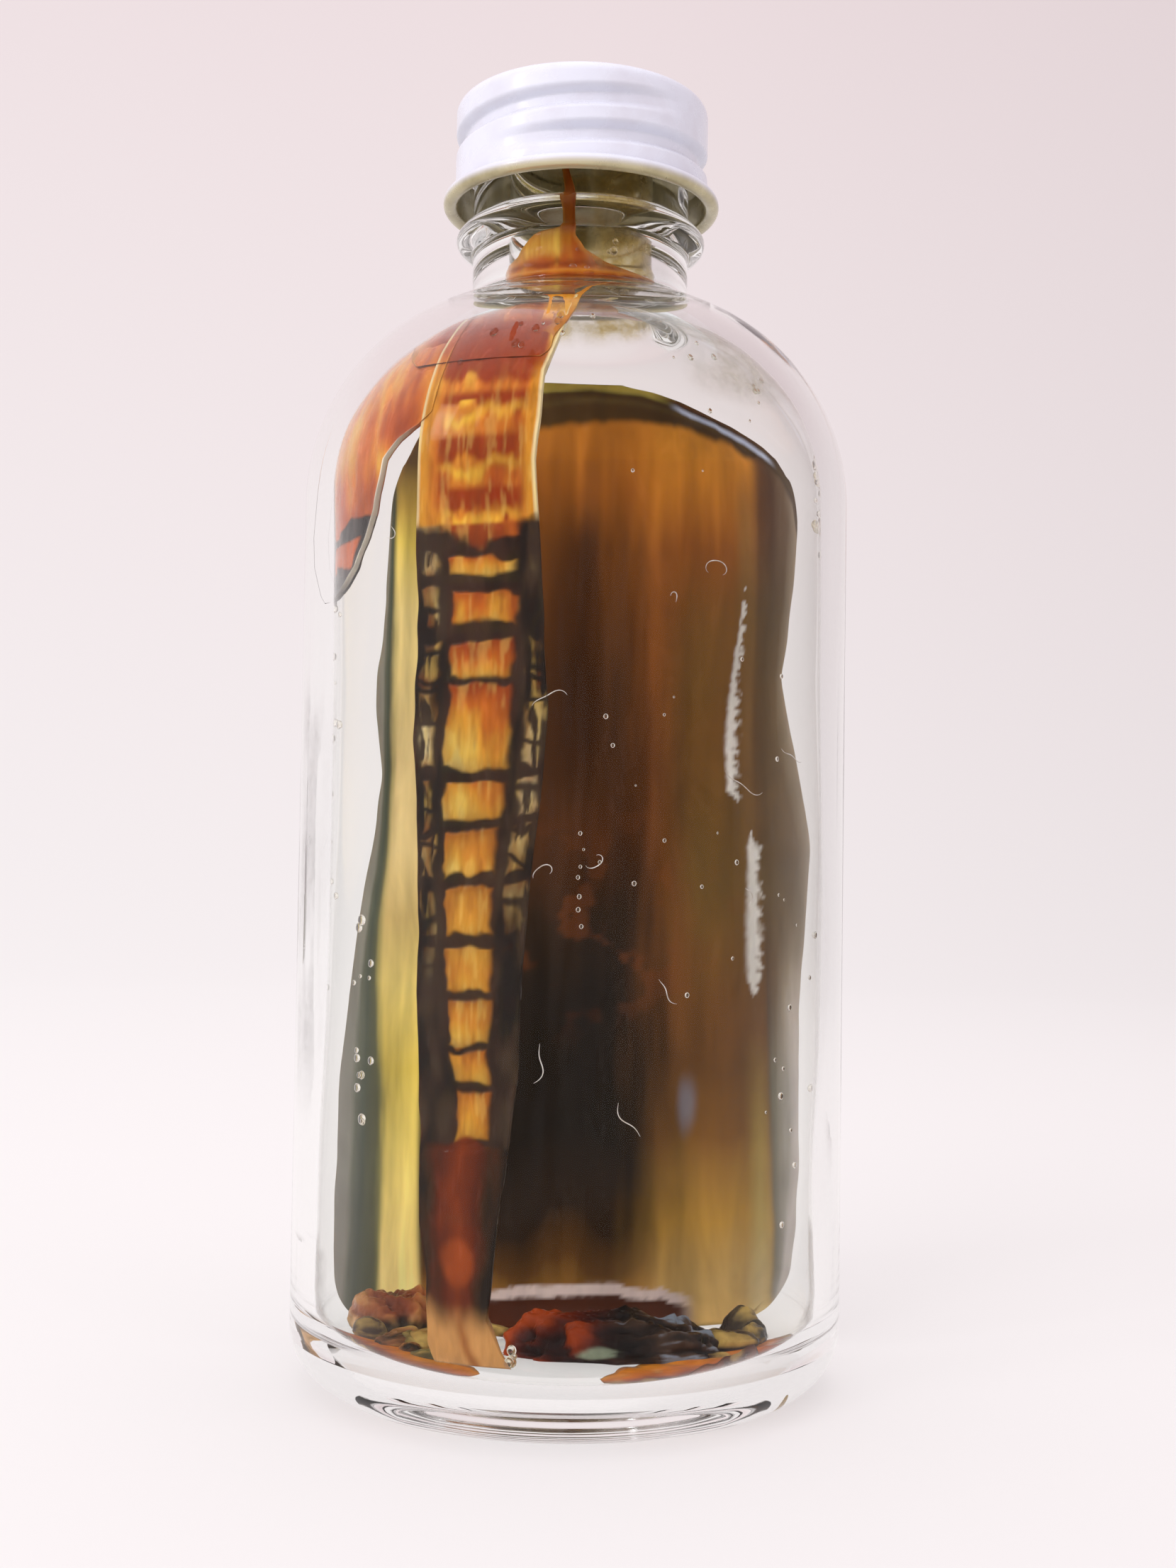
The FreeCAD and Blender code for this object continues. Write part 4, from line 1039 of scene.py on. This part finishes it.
def sediment_flakes():
    """Loose flakes on the floor, small lumps of the same make with their own shade."""
    spots = ((-14.0, -7.2, 2.6, 1.5, 2.6, 35, "8a5a34"), (-9.6, -3.6, 1.9, 1.2, 1.8, -20, "4e4a24"),
             (-9.0, -8.0, 2.0, 1.1, 1.6, 60, "b07a34"), (-10.6, -11.4, 2.2, 1.2, 1.7, 10, "5c5430"),
             (-6.0, 1.4, 1.8, 0.8, 0.8, -35, "5c3c20"), (16.0, 0.8, 2.4, 1.6, 2.8, 25, "4a3c28"),
             (1.4, 1.6, 1.5, 0.7, 0.7, 5, "70481c"), (16.4, -4.4, 2.0, 1.3, 3.2, 70, "3a3426"),
             (-12.8, -9.6, 1.8, 1.0, 1.9, 80, "9a6430"), (-16.8, -5.2, 1.6, 1.1, 2.8, 10, "4c3a2a"),
             (14.8, -8.0, 1.6, 0.8, 1.8, -30, "7a8296"), (12.4, -10.4, 1.8, 0.8, 1.2, -35, "3c2418"),
             (13.8, -7.6, 3.2, 1.5, 2.8, -10, "2c1c16"), (15.8, -6.2, 1.9, 1.0, 2.0, 40, "4a3226"),
             (-13.4, -6.4, 2.6, 1.6, 2.4, -50, "6a5a30"), (-11.6, -6.6, 2.6, 1.6, 2.4, 20, "84602e"))
    pieces = [lump("flake_%d" % k, *spot[:6], 300 + 13 * k, flake_paint(spot[6]), 0.2)
              for k, spot in enumerate(spots)]
    obj = join(pieces, "floor_flakes")
    obj.data.materials.append(wet_skin("flake_crust", 0.3, 1800))
    return place(obj, "sediment", "jar", "sediment_flakes")


# ---- small things on the wall ------------------------------------------------------------------------
def film(name, left, right, low, high, colours, seed, cover):
    """A film on the inside of the wall between two angles and two heights, for dried residue, smudges, painted
    reflections and painted caustic light; patchy through an alpha that fades to its sides and follows cloudy noise
    drawn out downwards."""
    obj, (s, angle, z) = wall_skin(name, lambda q: left + 0 * q, lambda q: right + 0 * q, low, high, 90, 90,
                                   lambda s, z: 0.06 + 0 * s * z, 0.02, 0.08)
    where = polar(inner_radius(z * MM) / MM, np.radians(angle), z)
    patch = cloudy(where * np.array([1, 1, 0.4]), 3.0, seed, 4)
    paint(obj, blend_tones(0.5 + 0.8 * patch, colours))
    share = (z - low) / (high - low)
    fade = smoothstep(0, 0.25, s) * smoothstep(1, 0.75, s) * smoothstep(0, 0.2, share) * smoothstep(1, 0.85, share)
    alpha = np.clip(cover * fade * (0.75 + 0.9 * patch), 0, 1).reshape(-1)
    store(obj, "cover", np.concatenate([alpha, [0.0, 0.0]]))
    material, tree, shader = new_material(name + "_finish")
    link(tree, attribute(tree, "paint", "Color"), shader.inputs["Base Color"])
    fine = noise(tree, object_coords(tree), 900, 4, 0.6)
    speckled = math_node(tree, "MULTIPLY", attribute(tree, "cover"), grey_ramp(tree, fine, 0.55, 1.0, 0.35, 0.6))
    link(tree, speckled, shader.inputs["Alpha"])
    shader.inputs["Roughness"].default_value = 0.45
    shader.inputs["Transmission Weight"].default_value = 0.85
    shader.inputs["IOR"].default_value = 1.15
    obj.data.materials.append(material)
    obj.visible_shadow = False
    return place(obj, "amber_medium", "jar")


def films():
    film("neck_residue", 40, 226, 94.6, 111.0, [(0, "8f7c3c"), (0.5, "bda55e"), (1, "dccb92")], 411, 1.5)
    film("neck_runs", 2, 74, 95.0, 109.0, [(0, "a8843c"), (0.5, "cfb774"), (1, "e6dab0")], 413, 0.9)
    # Painted light: an olive film over the right shoulder stands in for the olive-brown caustic there.
    film("shoulder_caustic_tint", 22, 74, 82.0, 96.0, [(0, "857c58"), (0.6, "b4ac8c"), (1, "d2ccb8")], 417, 0.5)
    film("heel_smudge_left", -84, -56, 4.0, 13.5, [(0, "5a4a3c"), (0.6, "8d8076"), (1, "b3aaa4")], 421, 0.55)
    film("heel_smudge_right", 62, 88, 4.0, 15.0, [(0, "4e4030"), (0.6, "7f7264"), (1, "b0a49a")], 431, 0.55)
    # Painted reflection: pale pinkish grey streaks over the glass at both side margins.
    film("wall_reflection_left", -80, -62, 22, 62, [(0, "a9a2a6"), (1, "d9d3d8")], 441, 0.25)
    film("wall_reflection_right", 66, 84, 16, 80, [(0, "b0a9aa"), (1, "dcd6d8")], 451, 0.25)


def wall_points(count, seed, angle, spread, z, tall):
    """Scattered angle and height pairs around a place, from hashed numbers."""
    index = np.stack([np.arange(count)] * 3, -1)
    a = hashed(index, seed) + hashed(index + 50, seed + 1) - 1
    b = hashed(index + 90, seed + 2) + hashed(index + 140, seed + 3) - 1
    return angle + spread * a, z + tall * b


def wall_drops():
    """Droplets and bubbles on the inside of the wall: one small dome repeated, radius and place varied."""
    groups = ((16, 501, 64, 7, 76, 6, 0.42), (14, 511, -46, 8, 30, 16, 0.34), (5, 521, 2, 3, 44, 5, 0.20),
              (14, 531, -60, 5, 52, 24, 0.26), (12, 541, 40, 26, 84, 6, 0.26), (14, 551, 52, 12, 34, 18, 0.22),
              (12, 561, -20, 30, 88, 4, 0.26), (10, 571, 20, 40, 98, 4, 0.30), (4, 581, -10, 2, 7.4, 0.8, 0.34),
              (20, 591, 20, 30, 50, 30, 0.15))
    placed = [(*wall_points(n, seed, a, da, z, dz), size, n, seed) for n, seed, a, da, z, dz, size in groups]
    angle = np.concatenate([p[0] for p in placed])
    height = np.concatenate([p[1] for p in placed])
    size = np.concatenate([p[2] * (0.45 + 0.9 * hashed(np.stack([np.arange(p[3])] * 3, -1), p[4] + 4)) for p in placed])
    rings, cols = 6, 12
    lift = 0.5 * math.pi * np.linspace(0.0, 0.88, rings)[None, :, None]
    turn = (np.arange(cols) / cols * 2 * math.pi)[None, None, :]
    r = size[:, None, None]
    z = height[:, None, None] + r * np.cos(lift) * np.sin(turn) * 1.15
    wall_r = inner_radius(z * MM) / MM
    around = FRONT + np.radians(angle)[:, None, None] + r * np.cos(lift) * np.cos(turn) / wall_r
    grid = polar(wall_r - 0.03 - 0.6 * r * np.sin(lift), around, z)
    tips = polar(inner_radius(height * MM) / MM - 0.03 - 0.6 * size, FRONT + np.radians(angle), height)
    feet = polar(inner_radius(height * MM) / MM - 0.03, FRONT + np.radians(angle), height)
    count = len(size)
    each = rings * cols + 2
    verts = np.concatenate([grid.reshape(count, -1, 3), tips[:, None], feet[:, None]], 1).reshape(-1, 3)
    start = (np.arange(count) * each)[:, None, None]
    quads = (tube_quads(rings, cols)[None] + start).reshape(-1, 4)
    caps = np.concatenate([pole_tris((rings - 1) * cols, cols, rings * cols, False),
                           pole_tris(0, cols, rings * cols + 1, True)])
    tris = (caps[None] + start).reshape(-1, 3)
    obj = add_mesh("wall_droplets", verts * MM, quads, tris)
    material, tree, shader = new_material("wet_droplets")
    speck = noise(tree, object_coords(tree), 900, 2, 0.5)
    link(tree, grey_ramp(tree, speck, 0.0, 0.12, 0.5, 0.8), shader.inputs["Roughness"])
    shader.inputs["Base Color"].default_value = (0.96, 0.93, 0.84, 1)
    shader.inputs["Transmission Weight"].default_value = 1.0
    shader.inputs["IOR"].default_value = 1.4
    obj.data.materials.append(material)
    obj.visible_shadow = False
    return place(obj, "clear_glass", "jar")


def lint():
    """Fine pale hairs on the inside of the front wall: thin tubes along curling lines, each a circle's
    arc whose turn changes along it."""
    hairs = ((12.0, 68.5, 3.6, 20, 300), (-3.0, 57.5, 3.2, 80, -120), (12.5, 53.0, 4.4, -70, 90), (2.0, 46.0, 2.4, 10, -260),
             (-1.5, 44.5, 2.6, 60, 240), (18.5, 55.0, 3.0, -50, 60), (7.0, 36.5, 2.6, -80, 50), (-2.0, 31.5, 3.4, -65, -60),
             (4.0, 27.0, 3.4, -75, 40), (-16.0, 71.5, 1.8, -20, 160), (15.0, 42.0, 2.0, 60, 90), (8.0, 66.0, 1.4, 40, 200))
    x, z, length, heading, curl = (np.array(v, float)[:, None] for v in zip(*hairs))
    t = np.linspace(0, 1, 40)[None, :]
    way = np.radians(heading + curl * t + 25 * np.sin(7 * t + x))
    step = length / 39
    px = x + np.cumsum(np.cos(way), 1) * step
    pz = z + np.cumsum(np.sin(way), 1) * step
    sides = 5
    turn = (np.arange(sides) / sides * 2 * math.pi)[None, None, :]
    thick = 0.045 * np.sin(math.pi * np.clip(t, 0.03, 0.97))[..., None] ** 0.5
    across = px[..., None] + thick * np.cos(turn) * np.sin(way)[..., None]
    up = pz[..., None] - thick * np.cos(turn) * np.cos(way)[..., None]
    wall_r = inner_radius(up * MM) / MM - 0.10 - thick * (1 + np.sin(turn))
    grid = polar(wall_r, FRONT + across / wall_r, up)
    count, rows = grid.shape[0], grid.shape[1]
    ends = grid[:, [0, -1]].mean(2)
    each = rows * sides + 2
    verts = np.concatenate([grid.reshape(count, -1, 3), ends], 1).reshape(-1, 3)
    start = (np.arange(count) * each)[:, None, None]
    quads = (tube_quads(rows, sides)[None] + start).reshape(-1, 4)
    caps = np.concatenate([pole_tris(0, sides, rows * sides, True),
                           pole_tris((rows - 1) * sides, sides, rows * sides + 1, False)])
    obj = add_mesh("lint_hairs", verts * MM, quads, (caps[None] + start).reshape(-1, 3))
    material, tree, shader = new_material("pale_lint")
    shade = noise(tree, object_coords(tree), 1500, 3, 0.6)
    link(tree, mix(tree, grey_ramp(tree, shade, 0.0, 1.0, 0.35, 0.65), (0.86, 0.82, 0.78), (0.52, 0.44, 0.36)),
         shader.inputs["Base Color"])
    shader.inputs["Roughness"].default_value = 0.6
    obj.data.materials.append(material)
    return place(obj, "sediment", "jar")


# ---- stage, light and camera -----------------------------------------------------------------------
def stage_bowl():
    """A pale floor that curves up into a round wall: radius 0.8 m, with a wide cove between them."""
    cove = 0.35
    wall_r = 0.8
    profile = np.concatenate([
        stretch((0.002, 0), (wall_r - cove, 0), 24),
        sweep((wall_r - cove, cove), cove, -90, 0, 24),
        stretch((wall_r, cove), (wall_r, 1.3), 10)])
    cols = 96
    angle = np.arange(cols) / cols * 2 * math.pi
    grid = polar(profile[:, :1], angle, profile[:, 1:] + 0 * angle)
    rows = len(profile)
    verts = np.concatenate([grid.reshape(-1, 3), [[0, 0, 0]]])
    floor = add_mesh("stage_floor", verts, tube_quads(rows, cols), pole_tris(0, cols, rows * cols, True))
    material, tree, shader = new_material("glowing_stage_paper")
    coords = object_coords(tree)
    split = tree.nodes.new("ShaderNodeSeparateXYZ")
    link(tree, coords, split.inputs[0])
    across = math_node(tree, "MULTIPLY_ADD", split.outputs["X"], 0.9)
    tree.nodes[-1].inputs[2].default_value = 0.5
    up = math_node(tree, "MULTIPLY", split.outputs["Z"], 1.7)
    # Painted light: the floor and wall glow by their own emission instead of being lit, brighter towards -x, darker
    # towards +x and pinker higher up.
    level = ramp(tree, across, [(0.0, (0.90, 0.88, 0.885)), (0.5, (0.86, 0.82, 0.825)), (1.0, (0.66, 0.62, 0.63))])
    tint = ramp(tree, up, [(0.0, (1.0, 1.0, 1.0)), (1.0, (0.95, 0.83, 0.85))])
    colour = mix(tree, 1.0, level, tint, "MULTIPLY")
    link(tree, colour, shader.inputs["Emission Color"])
    shader.inputs["Emission Strength"].default_value = 0.72
    shader.inputs["Base Color"].default_value = (0.25, 0.24, 0.24, 1)
    shader.inputs["Roughness"].default_value = 0.9
    floor.data.materials.append(material)
    return floor


def area_light(name, place, target, size, power, colour):
    data = bpy.data.lights.new(name, "AREA")
    data.shape = "RECTANGLE"
    data.size, data.size_y = size
    data.energy = power
    data.color = colour
    obj = bpy.data.objects.new(name, data)
    bpy.context.scene.collection.objects.link(obj)
    direction = Vector(target) - Vector(place)
    obj.location = place
    obj.rotation_euler = direction.to_track_quat("-Z", "Y").to_euler()
    return obj


def lights():
    """Soft daylight from the upper left, a weaker fill from the right and pale surroundings."""
    jar = (0, 0, 0.06)
    for lamp in (area_light("key_window", (-0.34, -0.36, 0.42), jar, (0.34, 0.34), 2.1, (1.0, 0.99, 1.0)),
                 area_light("fill_card", (0.42, -0.22, 0.25), jar, (0.22, 0.40), 0.5, (1.0, 0.95, 0.97)),
                 area_light("top_card", (0.0, 0.05, 0.62), jar, (0.45, 0.45), 0.9, (1.0, 0.98, 1.0))):
        lamp.visible_glossy = False
        lamp.visible_transmission = False
    area_light("left_strip", (-0.50, -0.30, 0.40), jar, (0.10, 0.16), 0.25, (0.95, 0.97, 1.0))
    world = bpy.data.worlds.new("surroundings")
    world.use_nodes = True
    tree = world.node_tree
    background = tree.nodes["Background"]
    direction = tree.nodes.new("ShaderNodeTexCoord").outputs["Generated"]
    split = tree.nodes.new("ShaderNodeSeparateXYZ")
    link(tree, direction, split.inputs[0])
    height = math_node(tree, "MULTIPLY_ADD", split.outputs["Z"], 0.5)
    tree.nodes[-1].inputs[2].default_value = 0.5
    sky = ramp(tree, height, [(0.0, (0.80, 0.79, 0.81)), (0.5, (0.70, 0.69, 0.71)), (1.0, (0.86, 0.85, 0.88))])
    link(tree, sky, background.inputs["Color"])
    background.inputs["Strength"].default_value = 1.0
    bpy.context.scene.world = world


def camera():
    """Close in front of the jar at mid height, looking up by two degrees and rolled by under one."""
    distance = 163.85 * MM
    side, height = 1.39 * MM, 46.5 * MM
    pitch, roll = math.radians(2.05), math.radians(0.834)
    data = bpy.data.cameras.new("camera")
    data.sensor_fit = "VERTICAL"
    data.sensor_height = 36
    data.lens = 41.755
    data.clip_start = 0.01
    data.clip_end = 10
    forward = Vector((0, math.cos(pitch), math.sin(pitch)))
    right = Vector((1, 0, 0))
    up = right.cross(forward)
    tilted_right = right * math.cos(roll) + up * math.sin(roll)
    tilted_up = up * math.cos(roll) - right * math.sin(roll)
    turn = Matrix((tilted_right, tilted_up, -forward)).transposed().to_4x4()
    obj = bpy.data.objects.new("camera", data)
    obj.matrix_world = Matrix.Translation((side, -distance, height)) @ turn
    bpy.context.scene.collection.objects.link(obj)
    bpy.context.scene.camera = obj


def view_settings():
    scene = bpy.context.scene
    scene.view_settings.view_transform = "Standard"
    scene.cycles.max_bounces = 40
    scene.cycles.transmission_bounces = 40
    scene.cycles.glossy_bounces = 40
    scene.cycles.transparent_max_bounces = 16


camera()
stage_bowl()
lights()
view_settings()
bottle_glass()
cap_shell()
liner_layers()
specimen_trunk()
specimen_tail()
neck_tissue()
set_medium()
heel_resin()
clumps()
sediment_flakes()
films()
wall_drops()
lint()
